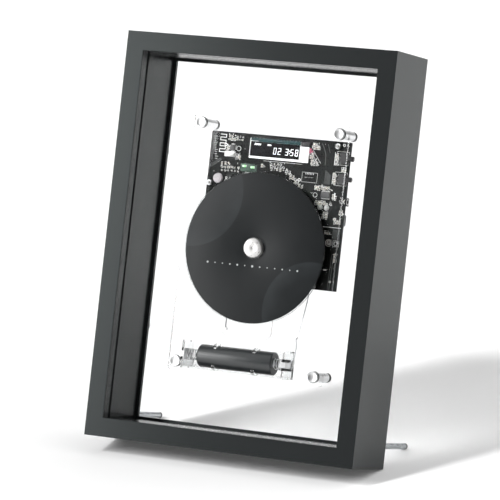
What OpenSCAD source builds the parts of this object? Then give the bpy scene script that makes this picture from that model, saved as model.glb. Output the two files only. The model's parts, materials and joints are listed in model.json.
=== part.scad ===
// Frame-mounted disc player standing on two screw-in pegs, millimetres.
//
// Every piece is drawn upright: X runs to the right, Y from the front face of the
// frame to its rear face, Z up from the bottom edge. lean() then tips the whole
// player back until the tips of the pegs touch the ground, with the origin on the
// ground below the middle of its outline.

/* [Frame] */
// Outer width of the frame
frame_w = 230; // [220:1:320]
// Outer height of the frame
frame_h = 320; // [310:1:420]
// Depth of the frame from front face to rear face
frame_d = 63; // [63:1:90]
// Width of the front face of each rail
face_w = 15; // [14:0.5:20]
// Depth of the front lip ahead of the groove
lip_d = 8.5; // [5:0.5:12]
// Width of the shadow groove in the inner wall
groove_w = 3.2; // [2:0.2:4]
// Depth of the shadow groove into the inner wall
groove_deep = 2.6; // [1.5:0.1:3]
// Wall thickness of the hollow rails
wall_t = 2; // [1.5:0.1:2.4]
// How far the rear border stands in past the inner wall
border_w = 2.2; // [1:0.1:5]
// Thickness of the rear border
border_t = 3; // [2:0.5:4]
// Width of the rebate that the rear pane sits in
rebate_w = 6; // [5.4:0.1:7]
// Thickness of the rear pane
pane_t = 3; // [2:0.5:4]
// Chamfer on the long edges of the frame
edge_c = 0.4; // [0.2:0.1:1]

/* [Pegs] */
// Diameter of a support peg
peg_d = 5; // [5:0.5:7]
// Length of a support peg behind the frame, with its tip
peg_len = 56.7; // [40:0.1:80]
// Height of the peg axis above the bottom edge
peg_z = 17.5; // [14:0.5:24]
// Length of the rubber tip of a peg
tip_len = 2.5; // [1.5:0.5:6]

/* [Player carrier] */
// Distance between standoff axes, side to side
standoff_dx = 119; // [119:1:150]
// Distance between standoff axes, top to bottom
standoff_dz = 189.4; // [186:0.1:240]
// Length of a standoff barrel
barrel_len = 20.5; // [20.5:0.5:30]
// Diameter of a standoff barrel
barrel_d = 8; // [7:0.5:10]
// Diameter of a standoff cap
cap_d = 9.5; // [8.5:0.5:12]
// Thickness of a standoff cap
cap_t = 3.1; // [2:0.1:5]
// Width of the clear mounting plate
plate_w = 133; // [133:1:164]
// Height of the clear mounting plate
plate_h = 204; // [201:1:255]
// Thickness of the clear mounting plate
plate_t = 3; // [3:0.5:5]

/* [Circuit board] */
// Width of the circuit board
board_w = 120; // [118:1:124]
// Height of the circuit board
board_h = 116.5; // [112:0.5:120]
// Thickness of the circuit board
board_t = 1.6; // [1:0.2:2]
// Gap between the mounting plate and the circuit board
spacer_h = 2.5; // [2.5:0.1:4]
// Travel of a side button
button_travel = 0.5; // [0.3:0.1:0.6]

/* [Disc drive] */
// Diameter of the disc
disc_d = 120; // [119:0.5:121]
// Diameter of the centre hole of the disc
disc_hole = 15; // [14.8:0.1:15.4]
// Thickness of the disc
disc_t = 1.2; // [1:0.1:1.4]
// Diameter of the clamping puck
puck_d = 16; // [16:0.5:22]
// Thickness of the clamping puck ahead of the disc
puck_t = 3.2; // [2:0.2:6]
// Diameter of the spindle motor
motor_d = 24.4; // [22:0.2:24.6]
// Radius at which the lens starts to read
lens_r = 24.5; // [24:0.5:26]
// Travel of the optical pickup
sled_travel = 33.5; // [20:0.5:34]

/* [Battery] */
// Diameter of the battery cell
cell_d = 18; // [14:0.5:18.5]
// Length of the battery cell
cell_len = 65; // [50:1:66]
// Outer length of the battery holder
holder_len = 88.5; // [86:0.5:92]
// Outer width of the battery holder
holder_w = 22; // [22:0.5:24]

/* [Hidden] */
$fn = 96;

// Colours
frame_black = [0.16, 0.165, 0.17];
clear = [0.85, 0.9, 0.92, 0.3];
satin_steel = [0.78, 0.79, 0.8];
bright_steel = [0.9, 0.9, 0.92];
board_black = [0.05, 0.06, 0.06];
moulded_black = [0.09, 0.09, 0.1];
rubber_grey = [0.2, 0.2, 0.21];
gear_white = [0.9, 0.89, 0.84];

// Clearances
fit = 0.05;          // radial gap of a running fit
slip = 0.3;          // gap between faces of pieces that move past each other
seat_gap = 0.15;     // gap between faces that rest on each other across a joint
cut = 1;             // overshoot of a cut past a face

// Frame
mid_z = frame_h / 2;
block_d = 9;                                    // solid rear part of each rail
border_x = face_w + border_w;                   // rail edge to the see-through edge
rebate_x = border_x - rebate_w;                 // rail edge to the wall of the rebate
seat_y = frame_d - pane_t;                      // front face of the rear pane
groove_end = lip_d + groove_w;
chamber_y0 = groove_end + wall_t;
chamber_y1 = frame_d - block_d;
flange_x = rebate_x / 2;                        // middle of the rear flange
pane_gap = 0.3;
tilt = atan((peg_z - peg_d / 2) / peg_len);
lean_shift = (frame_h * sin(tilt) - frame_d * cos(tilt)) / 2;

// Corner keys
key_t = 16;
key_leg = 30;
key_clear = 0.1;

// Turn buttons on the rear flange
turn_t = 1.2;
turn_w = 8;
turn_reach = rebate_x - flange_x + 5;
turn_tail = 4;
turn_z = 70;                                    // from the middle of the frame
turn_y = frame_d + 0.2;
screw_r = 1.5;
screw_head_r = 2.75;
screw_head_t = 1.6;
screw_deep = 7;

// Keyhole hangers in the stiles, below the top
hanger_w = 9.6;
hanger_h = 38;
hanger_t = 1.4;
hanger_z = frame_h - 42;
hanger_screw_dz = 15.5;
keyhole_r = 3.9;
keyslot_r = 2.1;
keyslot_up = 8;
pocket_deep = 6;

// Rubber bumpers that keep the turn buttons off a wall
bumper_r = 3.8;
bumper_t = 4;
bumper_z = [42, frame_h - 70];

// Pegs
peg_x = frame_w / 2 - 6.8;
stud_r = 2;
stud_deep = 7.5;
tip_spigot_r = 1.4;
tip_spigot = 4;

// Carrier
plate_y = seat_y - barrel_len - plate_t;        // front face of the mounting plate
plate_back = plate_y + plate_t;
plate_corner_r = 3;
cap_stud_r = 2;
cap_stud = 6;
csk_r = 4;                                      // head of a countersunk screw
csk_t = 2;

// Opening of the mounting plate for the drive
window_x0 = -24;
window_x1 = 19;
window_z0 = -71;
window_z1 = 24;
window_r = 7;

// Board, from the middle of the frame
board_x0 = -52.2;
board_x1 = board_x0 + board_w;
board_z1 = 89.3;
board_z0 = board_z1 - board_h;
board_y = plate_back + spacer_h;
board_back = board_y + board_t;
notch_x0 = -34;
notch_x1 = 40;
notch_z1 = 27.5;
board_holes = [[57.5, 85.4], [58.5, 10.6], [-49.4, 48.1], [-48, -20]];
board_hole_r = 1.15;
spacer_r = 2.2;

// Small screws of the board and the drive
small_r = 1;
small_head_r = 1.9;
small_head_t = 1.3;
small_bite = 2.2;                               // length of thread in the mounting plate

// Flat chips on the face of the board: x, z, width, height
chips = [[50.8, 46.9, 8, 5], [-32.7, 77.3, 4.4, 4.4], [-34.6, 72, 9, 4], [0, 44, 12, 12],
    [26, 42, 9, 7]];
chip_t = 0.9;
inductor_at = [-42.5, 52.2];
inductor_r = 4.1;
inductor_t = 2.1;
lamp_at = [[-20.9, 63.4], [-13.9, 63]];
lamp_w = 3.2;
lamp_h = 1.8;
lamp_t = 1.1;

// White plug housings: one above the drive, one for the battery lead
plug_t = 2;
plug_x0 = 30.4;
plug_x1 = 40.6;
plug_z0 = 56.9;
plug_z1 = 61.7;
lead_plug_x = 46.2;
lead_plug_z0 = -25.8;
lead_plug_z1 = -22.3;
lead_plug_w = 5;
lead_way_w = 1.2;

// Display
display_x0 = -16.6;
display_x1 = 25.1;
display_z0 = 72.6;
display_z1 = 83.5;
display_t = 0.9;
ledge_z1 = 86.2;
ledge_t = 0.7;
backlight_x0 = -17.8;
backlight_x1 = 33;
backlight_z0 = 70.4;
backlight_t = 1.2;

// Side switches and their buttons
switch_z = [76.4, 60.3];
switch_len = 5.8;
switch_w = 8;
switch_t = 2;
switch_x1 = board_x1 - 1.6;                     // outer face of a switch body
stem_w = 1.8;
stem_y0 = board_y - 1.5;
stem_t = 0.9;
stem_in = 1.2;
stem_play = 0.2;
button_r = 2;
button_len = 4.4;
button_x0 = board_x1 - 0.2;
button_y = board_y - button_r - 0.4;

// Sockets on the rear of the board
jack_z = 43;
jack_len = 14;
jack_w = 6.4;
jack_t = 5;
jack_r = 1.8;
jack_bore = 13;
usb_z = 28.5;
usb_len = 7.4;
usb_w = 8.94;
usb_t = 3.2;
usb_wall = 0.3;
usb_tongue_w = 6.6;
usb_tongue_t = 0.7;

// Drive, from the middle of the frame
disc_y = plate_y - 6.5;                         // front face of the disc
disc_back = disc_y + disc_t;
table_y = disc_back + seat_gap;
table_r = 14.5;
table_t = 1.65;
table_boss_r = 5;
table_boss = 3.6;
spigot_r = disc_hole / 2 - fit;
magnet_r = 6.2;
magnet_in = 3.3;
magnet_t = 1.5;
puck_spigot_r = 2.95;
puck_spigot = 2.4;
shaft_r = 1;
base_y = plate_back + 6.3;                      // front face of the base
base_t = 2;
base_back = base_y + base_t;
base_x0 = -32;
base_x1 = 32;
base_z0 = -44;
base_z1 = 28;
base_r = 8;
base_rim = 2;
base_hole = [-16, -38, 6, -17];
base_posts = [[-27.5, 22.5], [27.5, 22.5], [-27.5, -38], [27.5, -38]];
post_r = 3.2;
damper_t = 2;
motor_y = plate_back + 0.1;
motor_len = 11;
motor_boss_r = 3;
motor_boss = 1;

// Optical pickup on its rod, from the middle of the frame
rod_r = 1;
rod_x = -21;
rod_y = plate_y + 1.5;
rod_z0 = -66;
rod_z1 = -2;
clip_t = 2;
clip_w = 3.2;
bush_r = 2.6;
bush_down = 5;
body_down = 8;
body_up = 11;
body_x0 = -19;
body_x1 = window_x1 - 0.6;
body_y0 = disc_back + 3.2;
body_y1 = plate_back + 1.1;
lens_r_out = 3;
lens_hole_r = lens_r_out + fit;
lens_z = -lens_r;                               // with the pickup at its inner end
lens_y0 = disc_back + 1.9;
lens_len = 4;
lens_cup_y1 = body_y1 - 1.6;
fork_t = 1;
fork_w = 5;
fork_reach = 2;

// Gear train: rack, idler with two wheels, motor pinion
rack_m = 1;
rack_x = 16.1;                                  // pitch line of the rack
rack_back = 13.2;
rack_y0 = body_y1 + 0.2;
rack_t = 2;
rack_down = 2;
rack_teeth = 13;
small_n = 10;
big_m = 0.8;
big_n = 24;
pinion_n = 8;
idler_x = rack_x + rack_m * small_n / 2;
idler_z = -22;
pinion_x = idler_x;
pinion_z = idler_z + big_m * (big_n + pinion_n) / 2;
big_y0 = rack_y0 + rack_t + 0.4;
big_t = 1.8;
axle_r = 0.75;
sled_motor_r = 8;
sled_motor_len = 8.2;

// Battery, from the middle of the frame
battery_x = -2.3;
battery_z = -88;
holder_floor = 1.8;
holder_side_t = 1.4;
holder_end_t = 2;
cell_play = 0.3;
cell_y = plate_y - holder_floor - cell_play - cell_d / 2;
holder_front = cell_y - cell_d / 2 + 1;
holder_screw_dx = holder_len / 2 - holder_end_t - 3.2;
arm_w = 2.6;
arm_at = [-0.26, 0.26];                         // share of the cell's length
arm_t = 1.4;
arm_over = 0.74;                                // share of the cell's radius
contact_t = 0.5;
contact_w = 9;
contact_x = holder_len / 2 - holder_end_t - contact_t;   // from the middle of the holder
tab_out = 1.2;                                  // reach of a tab outside the end wall
tab_t = 1;
tab_down = 10;
spring_r = 4;
spring_wire = 0.9;
spring_turns = 4;
spring_gap = spring_wire / 2 + 0.1;

// Battery lead: points from the middle of the frame, X, depth behind the plate's face, Z
lead_d = 0.9;
lead_points = [
    [46.2, 4.5, -22.9], [46.2, 4.5, -28], [45.6, 4.5, -36], [44.3, 4.5, -45],
    [42.4, 4.5, -54], [41.2, 4.4, -61], [40.9, 3.8, -65.2], [40.9, 1.9, -66.4],
    [41.2, -0.3, -66.9], [42.2, -1.9, -68.4], [43.2, -2.9, -71.4], [43.7, -3.9, -75.4],
    [43.8, -5.1, -79.2], [43.6, -6.5, -82], [43.1, -8.1, -84.2], [42.7, -9.5, -85.6]
];
lead_hole_r = 1.1;

// ---------------------------------------------------------------- helpers

// Tips the upright player back onto its pegs and puts the origin under its middle
module lean() {
    translate([0, -lean_shift, 0]) rotate([-tilt, 0, 0]) translate([0, -frame_d, 0]) children();
}

// Lifts what is drawn from the middle of the frame
module from_middle() {
    translate([0, 0, mid_z]) children();
}

// A flat shape drawn in X and Z, thickened towards the rear from depth y0
module slab(y0, t) {
    translate([0, y0 + t, 0]) rotate([90, 0, 0]) linear_extrude(height = t) children();
}

// A round bar along Y from y0 to y1 at x, z
module bar_y(x, z, r, y0, y1) {
    translate([x, y0, z]) rotate([-90, 0, 0]) cylinder(h = y1 - y0, r = r);
}

// A round bar along X from x0 to x1 at y, z
module bar_x(y, z, r, x0, x1) {
    translate([x0, y, z]) rotate([0, 90, 0]) cylinder(h = x1 - x0, r = r);
}

// A box between two corners
module block(low, high) {
    translate(low) cube(high - low);
}

// A flat rectangle with round corners, between two corners
module round_rect(x0, z0, x1, z1, r) {
    translate([x0 + r, z0]) square([x1 - x0 - 2 * r, z1 - z0]);
    translate([x0, z0 + r]) square([x1 - x0, z1 - z0 - 2 * r]);
    for (x = [x0 + r, x1 - r], z = [z0 + r, z1 - r]) translate([x, z]) circle(r);
}

// A screw along Y with a round head behind its seat at depth y
module pan_screw(x, z, y, r, length, head_r, head_t) {
    bar_y(x, z, r, y - length, y);
    bar_y(x, z, head_r, y, y + head_t);
}

// Places children at each of the four standoffs
module at_standoffs() {
    for (sx = [-1, 1], sz = [-1, 1])
        translate([sx * standoff_dx / 2, 0, mid_z + sz * standoff_dz / 2]) children();
}

// Outline of a spur gear: module m, n teeth, one tooth at angle phase. Each tooth has
// its corners at a height from the pitch circle and a share of the pitch to each side
function gear_points(m, n, phase) = [
    for (k = [0 : n - 1], p = [[-1.15, -0.28], [0.9, -0.09], [0.9, 0.09], [-1.15, 0.28]])
        let (r = m * (n / 2 + p[0]), a = phase + (k + p[1]) * 360 / n)
        [r * cos(a), r * sin(a)]
];

module gear(m, n, phase) {
    polygon(gear_points(m, n, phase));
}

// ---------------------------------------------------------------- frame

// Section of a rail: X from its outer edge, Y from the front face
module rail_section() {
    difference() {
        polygon([
            [edge_c, 0], [face_w - edge_c, 0], [face_w, edge_c], [face_w, lip_d],
            [face_w - groove_deep, lip_d], [face_w - groove_deep, groove_end],
            [face_w, groove_end], [face_w, seat_y - border_t], [border_x, seat_y - border_t],
            [border_x, seat_y], [rebate_x, seat_y], [rebate_x, frame_d],
            [edge_c, frame_d], [0, frame_d - edge_c], [0, edge_c]
        ]);
        translate([wall_t, wall_t])
            square([face_w - groove_deep - 2 * wall_t, groove_end - 2 * wall_t]);
        translate([wall_t, chamber_y0])
            square([face_w - 2 * wall_t, chamber_y1 - chamber_y0]);
    }
}

// A rail of the left stile's kind, with mitred ends
module upright_rail() {
    intersection() {
        translate([-frame_w / 2, 0, 0]) linear_extrude(height = frame_h) rail_section();
        slab(-cut, frame_d + 2 * cut) polygon([
            [-frame_w / 2, 0], [-frame_w / 2, frame_h],
            [-frame_w / 2 + border_x, frame_h - border_x], [-frame_w / 2 + border_x, border_x]
        ]);
    }
}

// A rail of the bottom rail's kind, with mitred ends
module level_rail() {
    intersection() {
        rotate([0, -90, 0]) translate([0, 0, -frame_w / 2])
            linear_extrude(height = frame_w) rail_section();
        slab(-cut, frame_d + 2 * cut) polygon([
            [-frame_w / 2, 0], [frame_w / 2, 0],
            [frame_w / 2 - border_x, border_x], [-frame_w / 2 + border_x, border_x]
        ]);
    }
}

// The left stile, with the holes for its peg, turn buttons and hanger
module stile() {
    x = -frame_w / 2 + flange_x;
    difference() {
        upright_rail();
        bar_y(-peg_x, peg_z, stud_r + fit, frame_d - stud_deep - 0.5, frame_d + cut);
        for (sz = [-1, 1])
            bar_y(x, mid_z + sz * turn_z, screw_r + fit, frame_d - screw_deep - 0.5, frame_d + cut);
        for (sz = [-1, 1])
            bar_y(x, hanger_z + sz * hanger_screw_dz, screw_r + fit,
                frame_d - screw_deep - 0.5, frame_d + cut);
        slab(frame_d - hanger_t, hanger_t + cut)
            round_rect(x - hanger_w / 2 - key_clear, hanger_z - hanger_h / 2 - key_clear,
                x + hanger_w / 2 + key_clear, hanger_z + hanger_h / 2 + key_clear, 2);
        slab(frame_d - hanger_t - pocket_deep, pocket_deep + cut)
            round_rect(x - keyhole_r, hanger_z - keyslot_up / 2 - keyhole_r - 1,
                x + keyhole_r, hanger_z + keyslot_up / 2 + keyhole_r, 2);
    }
}

module left_stile() {
    color(frame_black) lean() stile();
}

module right_stile() {
    color(frame_black) lean() mirror([1, 0, 0]) stile();
}

module bottom_rail() {
    color(frame_black) lean() level_rail();
}

module top_rail() {
    color(frame_black) lean() translate([0, 0, frame_h]) mirror([0, 0, 1]) level_rail();
}

// Angled keys that slide into the hollow rails and hold each mitre
module corner_keys() {
    near = wall_t + key_clear;
    far = face_w - wall_t - key_clear;
    gap = (chamber_y1 - chamber_y0 - 2 * key_t) / 3;
    color(satin_steel) lean()
        for (sx = [0, 1], sz = [0, 1], k = [0, 1])
            mirror([sx, 0, 0]) translate([0, 0, sz * frame_h]) mirror([0, 0, sz])
                translate([-frame_w / 2, 0, 0])
                    slab(chamber_y0 + gap + k * (key_t + gap), key_t)
                        polygon([[near, near], [key_leg, near], [key_leg, far],
                            [far, far], [far, key_leg], [near, key_leg]]);
}

// Clear pane in the rebate, which carries the standoffs
module rear_pane() {
    x = frame_w / 2 - rebate_x - pane_gap;
    z0 = rebate_x + pane_gap;
    color(clear) lean() difference() {
        slab(seat_y, pane_t) round_rect(-x, z0, x, frame_h - z0, 1);
        at_standoffs() {
            bar_y(0, 0, stud_r + slip, seat_y - cut, frame_d + cut);
            translate([0, frame_d - csk_t, 0]) rotate([-90, 0, 0])
                cylinder(h = csk_t + 0.1, r1 = stud_r + fit, r2 = csk_r + 0.2);
        }
    }
}

// One turn button: a flat strip that reaches over the edge of the pane
module turn_button(sx, sz) {
    z = mid_z + sz * turn_z;
    color(satin_steel) lean() mirror([sx > 0 ? 1 : 0, 0, 0])
        translate([-frame_w / 2 + flange_x, 0, z]) slab(turn_y, turn_t) difference() {
            round_rect(-turn_tail, -turn_w / 2, turn_reach, turn_w / 2, turn_w / 2 - 0.2);
            circle(screw_r + fit);
        }
}

module turn_button_top_left() { turn_button(-1, 1); }
module turn_button_top_right() { turn_button(1, 1); }
module turn_button_bottom_left() { turn_button(-1, -1); }
module turn_button_bottom_right() { turn_button(1, -1); }

// Screws of the turn buttons and of the hanger plates
module rear_screws() {
    x = frame_w / 2 - flange_x;
    seat = turn_y + turn_t + 0.2;
    color(satin_steel) lean() for (sx = [-1, 1]) {
        for (sz = [-1, 1])
            pan_screw(sx * x, mid_z + sz * turn_z, seat, screw_r,
                seat - frame_d + screw_deep, screw_head_r, screw_head_t);
        for (sz = [-1, 1])
            pan_screw(sx * x, hanger_z + sz * hanger_screw_dz, frame_d, screw_r,
                screw_deep, screw_head_r, screw_head_t);
    }
}

// Keyhole plates let into the stiles, for hanging on two wall screws
module hanger_plates() {
    color(satin_steel) lean() for (sx = [-1, 1])
        translate([sx * (frame_w / 2 - flange_x), 0, hanger_z])
            slab(frame_d - hanger_t, hanger_t) difference() {
                round_rect(-hanger_w / 2, -hanger_h / 2, hanger_w / 2, hanger_h / 2, 2);
                translate([0, -keyslot_up / 2]) circle(keyhole_r);
                translate([-keyslot_r, -keyslot_up / 2]) square([2 * keyslot_r, keyslot_up]);
                translate([0, keyslot_up / 2]) circle(keyslot_r);
                for (sz = [-1, 1]) translate([0, sz * hanger_screw_dz]) circle(screw_r + fit);
            }
}

// Soft bumpers on the rear face
module wall_bumpers() {
    color(rubber_grey) lean()
        for (sx = [-1, 1], z = bumper_z)
            bar_y(sx * (frame_w / 2 - flange_x), z, bumper_r, frame_d, frame_d + bumper_t);
}

// ---------------------------------------------------------------- pegs

// A bright rod with a threaded stud at the frame and a socket for its tip
module support_peg(sx) {
    end = frame_d + peg_len - tip_len;
    color(bright_steel) lean() difference() {
        union() {
            bar_y(sx * peg_x, peg_z, peg_d / 2, frame_d + seat_gap, end);
            bar_y(sx * peg_x, peg_z, stud_r, frame_d - stud_deep, frame_d + cut);
        }
        bar_y(sx * peg_x, peg_z, tip_spigot_r + fit, end - tip_spigot - 0.3, end + cut);
    }
}

module peg_tip(sx) {
    end = frame_d + peg_len;
    color(rubber_grey) lean() {
        bar_y(sx * peg_x, peg_z, peg_d / 2, end - tip_len, end);
        bar_y(sx * peg_x, peg_z, tip_spigot_r, end - tip_len - tip_spigot, end - 0.5);
    }
}

module support_peg_left() { support_peg(-1); }
module support_peg_right() { support_peg(1); }
module peg_tip_left() { peg_tip(-1); }
module peg_tip_right() { peg_tip(1); }

// ---------------------------------------------------------------- carrier

// Tubes between the pane and the mounting plate
module standoff_barrels() {
    color(satin_steel) lean() at_standoffs() difference() {
        bar_y(0, 0, barrel_d / 2, plate_back, seat_y);
        bar_y(0, 0, stud_r + fit, plate_back - cut, seat_y + cut);
    }
}

// Turned caps ahead of the mounting plate, each with its stud
module standoff_caps() {
    color(satin_steel) lean() at_standoffs() {
        translate([0, plate_y, 0]) rotate([90, 0, 0]) rotate_extrude()
            polygon([[0, 0], [cap_d / 2, 0], [cap_d / 2, cap_t - 0.5],
                [cap_d / 2 - 0.5, cap_t], [0, cap_t]]);
        bar_y(0, 0, cap_stud_r, plate_y - 0.5, plate_back + cap_stud);
    }
}

// Countersunk screws through the rear pane
module standoff_screws() {
    color(satin_steel) lean() at_standoffs() {
        translate([0, frame_d - csk_t, 0]) rotate([-90, 0, 0])
            cylinder(h = csk_t, r1 = stud_r, r2 = csk_r);
        bar_y(0, 0, stud_r, seat_y - cap_stud - cut, frame_d - csk_t);
    }
}

// The clear plate that carries board, drive and battery
module mounting_plate() {
    color(clear) lean() from_middle() slab(plate_y, plate_t) difference() {
        round_rect(-plate_w / 2, -plate_h / 2, plate_w / 2, plate_h / 2, plate_corner_r);
        round_rect(window_x0, window_z0, window_x1, window_z1, window_r);
        for (sx = [-1, 1], sz = [-1, 1])
            translate([sx * standoff_dx / 2, sz * standoff_dz / 2]) circle(cap_stud_r + slip);
        for (p = concat(board_holes, base_posts)) translate(p) circle(small_r + fit);
        for (sx = [-1, 1])
            translate([battery_x + sx * holder_screw_dx, battery_z]) circle(small_r + fit);
        translate([lead_points[7][0], lead_points[7][2]]) circle(lead_hole_r);
    }
}

// ---------------------------------------------------------------- battery

// Clear cradle with four sprung arms that snap over the cell
module battery_holder() {
    x = holder_len / 2;
    z = holder_w / 2;
    foot = [cell_d / 2 + cell_play, z - holder_side_t / 2];     // an arm's reach to its wall
    color(clear) lean() from_middle() translate([battery_x, 0, battery_z]) difference() {
        union() {
            block([-x, plate_y - holder_floor, -z], [x, plate_y, z]);
            for (sx = [-1, 1])
                translate([sx * (x - holder_end_t / 2), 0, 0])
                    block([-holder_end_t / 2, holder_front, -z],
                        [holder_end_t / 2, plate_y, z]);
            for (sz = [-1, 1])
                translate([0, 0, sz * (z - holder_side_t / 2)])
                    block([-x, cell_y + 2, -holder_side_t / 2], [x, plate_y, holder_side_t / 2]);
            for (k = arm_at) translate([k * cell_len, 0, 0]) difference() {
                union() {
                    bar_x(cell_y, 0, cell_d / 2 + cell_play + arm_t, -arm_w / 2, arm_w / 2);
                    for (sz = [-1, 1]) translate([0, 0, sz * (foot[0] + foot[1]) / 2])
                        block([-arm_w / 2, cell_y + 2, (foot[0] - foot[1]) / 2],
                            [arm_w / 2, cell_y + 3, (foot[1] - foot[0]) / 2]);
                }
                bar_x(cell_y, 0, cell_d / 2 + cell_play, -arm_w, arm_w);
                block([-arm_w, cell_y - cell_d, -z], [arm_w, cell_y - arm_over * cell_d / 2, z]);
                block([-arm_w, cell_y + 3, -z], [arm_w, plate_y + cell_d, z]);
            }
        }
        for (sx = [-1, 1])
            bar_y(sx * holder_screw_dx, 0, small_r + fit, plate_y - holder_floor - cut,
                plate_y + cut);
    }
}

// Screws that hold the cradle to the mounting plate
module holder_screws() {
    seat = plate_y - holder_floor;
    color(satin_steel) lean() from_middle() for (sx = [-1, 1])
        translate([battery_x + sx * holder_screw_dx, 0, battery_z]) {
            bar_y(0, 0, small_r, seat, plate_back);
            bar_y(0, 0, small_head_r, seat - small_head_t, seat);
        }
}

// Wrapped cell with a raised contact at its left end
module battery_cell() {
    r = cell_d / 2;
    color([0.35, 0.37, 0.38]) lean() from_middle()
        translate([battery_x - cell_len / 2, cell_y, battery_z]) rotate([0, 90, 0])
            rotate_extrude() polygon([[0, 0], [3, 0], [3, 1.2], [r - 1.2, 1.2], [r, 2.4],
                [r, cell_len - 0.8], [r - 0.8, cell_len], [0, cell_len]]);
}

// A closed coil of wire along X, from x0 to x1
function coil_ring(t, x0, x1) =
    let (a = 360 * spring_turns * t, x = x0 + (x1 - x0) * t)
    [for (k = [0 : 5]) let (b = 60 * k, r = spring_r + spring_wire / 2 * cos(b))
        [x + spring_wire / 2 * sin(b), r * cos(a), r * sin(a)]];

module coil(x0, x1) {
    rings = spring_turns * 14;
    points = [for (i = [0 : rings]) each coil_ring(i / rings, x0, x1)];
    sides = [for (i = [0 : rings - 1], k = [0 : 5])
        [6 * i + k, 6 * i + (k + 1) % 6, 6 * i + 6 + (k + 1) % 6, 6 * i + 6 + k]];
    first = [for (k = [5 : -1 : 0]) k];
    last = [for (k = [0 : 5]) 6 * rings + k];
    polyhedron(points = points, faces = concat(sides, [first, last]), convexity = 8);
}

module contact_springs() {
    color(bright_steel) lean() from_middle() translate([battery_x, cell_y, battery_z]) {
        coil(cell_len / 2 + spring_gap, contact_x - spring_gap);
        mirror([1, 0, 0]) coil(cell_len / 2 + spring_gap, contact_x - spring_gap);
    }
}

// Flat contacts on the end walls, with a solder tab that passes over the wall
module contact_plates() {
    color(satin_steel) lean() from_middle() translate([battery_x, 0, battery_z])
        for (sx = [0, 1]) mirror([sx, 0, 0]) {
            block([contact_x, holder_front - tab_t, -contact_w / 2],
                [contact_x + contact_t, plate_y - holder_floor - 0.4, contact_w / 2]);
            block([contact_x, holder_front - tab_t, -contact_w / 4],
                [holder_len / 2 + tab_out, holder_front - 0.2, contact_w / 4]);
            block([holder_len / 2 + tab_out - tab_t, holder_front - tab_t, -contact_w / 4],
                [holder_len / 2 + tab_out, holder_front + tab_down, contact_w / 4]);
        }
}

// Sweep of an eight-sided tube along a list of points
function unit(v) = v / norm(v);
function heading(p, i) = unit(p[min(i + 1, len(p) - 1)] - p[max(i - 1, 0)]);
function tube_ring(p, i, r) =
    let (d = heading(p, i), side = unit(cross(d, [0, 1, 0.2])), up = cross(side, d))
    [for (k = [0 : 7]) p[i] + r * (cos(45 * k) * side + sin(45 * k) * up)];

module tube(p, r) {
    n = len(p);
    points = [for (i = [0 : n - 1]) each tube_ring(p, i, r)];
    sides = [for (i = [0 : n - 2], k = [0 : 7])
        [8 * i + k, 8 * i + 8 + k, 8 * i + 8 + (k + 1) % 8, 8 * i + (k + 1) % 8]];
    first = [for (k = [0 : 7]) k];
    last = [for (k = [7 : -1 : 0]) 8 * (n - 1) + k];
    polyhedron(points = points, faces = concat(sides, [first, last]), convexity = 6);
}

// Thin two-core lead from the board, through the plate, to the battery holder
module battery_lead() {
    color([0.75, 0.76, 0.78]) lean() from_middle() translate([0, plate_y, 0])
        tube(lead_points, lead_d / 2);
}

// ---------------------------------------------------------------- board

module circuit_board() {
    color(board_black) lean() from_middle() slab(board_y, board_t) difference() {
        round_rect(board_x0, board_z0, board_x1, board_z1, 0.8);
        round_rect(notch_x0, board_z0 - 10, notch_x1, notch_z1, 3);
        for (p = board_holes) translate(p) circle(board_hole_r);
    }
}

module board_spacers() {
    color(satin_steel) lean() from_middle() slab(plate_back, spacer_h) for (p = board_holes)
        translate(p) difference() {
            circle(spacer_r);
            circle(board_hole_r);
        }
}

// Small screws from behind: four in the board, four in the drive
module module_screws() {
    color(satin_steel) lean() from_middle() {
        for (p = board_holes)
            pan_screw(p[0], p[1], board_back, small_r, board_back - plate_back + small_bite,
                small_head_r, small_head_t);
        for (p = base_posts)
            pan_screw(p[0], p[1], base_back, small_r, base_back - plate_back + small_bite,
                small_head_r, small_head_t);
    }
}

// White light guide behind the display, wider than it on the right
module display_backlight() {
    color("white") lean() from_middle() slab(board_y - backlight_t, backlight_t)
        round_rect(backlight_x0, backlight_z0, backlight_x1, ledge_z1, 0.5);
}

module display_panel() {
    color("black") lean() from_middle() slab(board_y - backlight_t - display_t, display_t)
        round_rect(display_x0, display_z0, display_x1, display_z1, 0.2);
}

// Tinted connection strip along the top of the display
module display_ledge() {
    color([0.2, 0.5, 0.5]) lean() from_middle()
        slab(board_y - backlight_t - ledge_t, ledge_t)
            round_rect(display_x0 - 0.4, display_z1 + 0.1, display_x1 + 0.7, ledge_z1, 0.3);
}

module controller_chips() {
    color([0.12, 0.12, 0.13]) lean() from_middle() for (c = chips)
        slab(board_y - chip_t, chip_t)
            round_rect(c[0] - c[2] / 2, c[1] - c[3] / 2, c[0] + c[2] / 2, c[1] + c[3] / 2, 0.2);
}

module power_inductor() {
    color([0.6, 0.6, 0.62]) lean() from_middle()
        bar_y(inductor_at[0], inductor_at[1], inductor_r, board_y - inductor_t, board_y);
}

module status_lamps() {
    color([0.4, 0.9, 0.4]) lean() from_middle() for (p = lamp_at)
        slab(board_y - lamp_t, lamp_t)
            round_rect(p[0] - lamp_w / 2, p[1] - lamp_h / 2, p[0] + lamp_w / 2,
                p[1] + lamp_h / 2, 0.3);
}

module board_connectors() {
    color("white") lean() from_middle() {
        block([plug_x0, board_y - plug_t, plug_z0], [plug_x1, board_y, plug_z1]);
        difference() {
            block([lead_plug_x - lead_plug_w / 2, board_y - plug_t, lead_plug_z0],
                [lead_plug_x + lead_plug_w / 2, board_y, lead_plug_z1]);
            block([lead_plug_x - lead_way_w / 2, board_y - plug_t / 2 - lead_way_w / 2,
                lead_plug_z0 - cut],
                [lead_plug_x + lead_way_w / 2, board_y - plug_t / 2 + lead_way_w / 2,
                    lead_plug_z1 - 0.6]);
        }
    }
}

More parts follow.
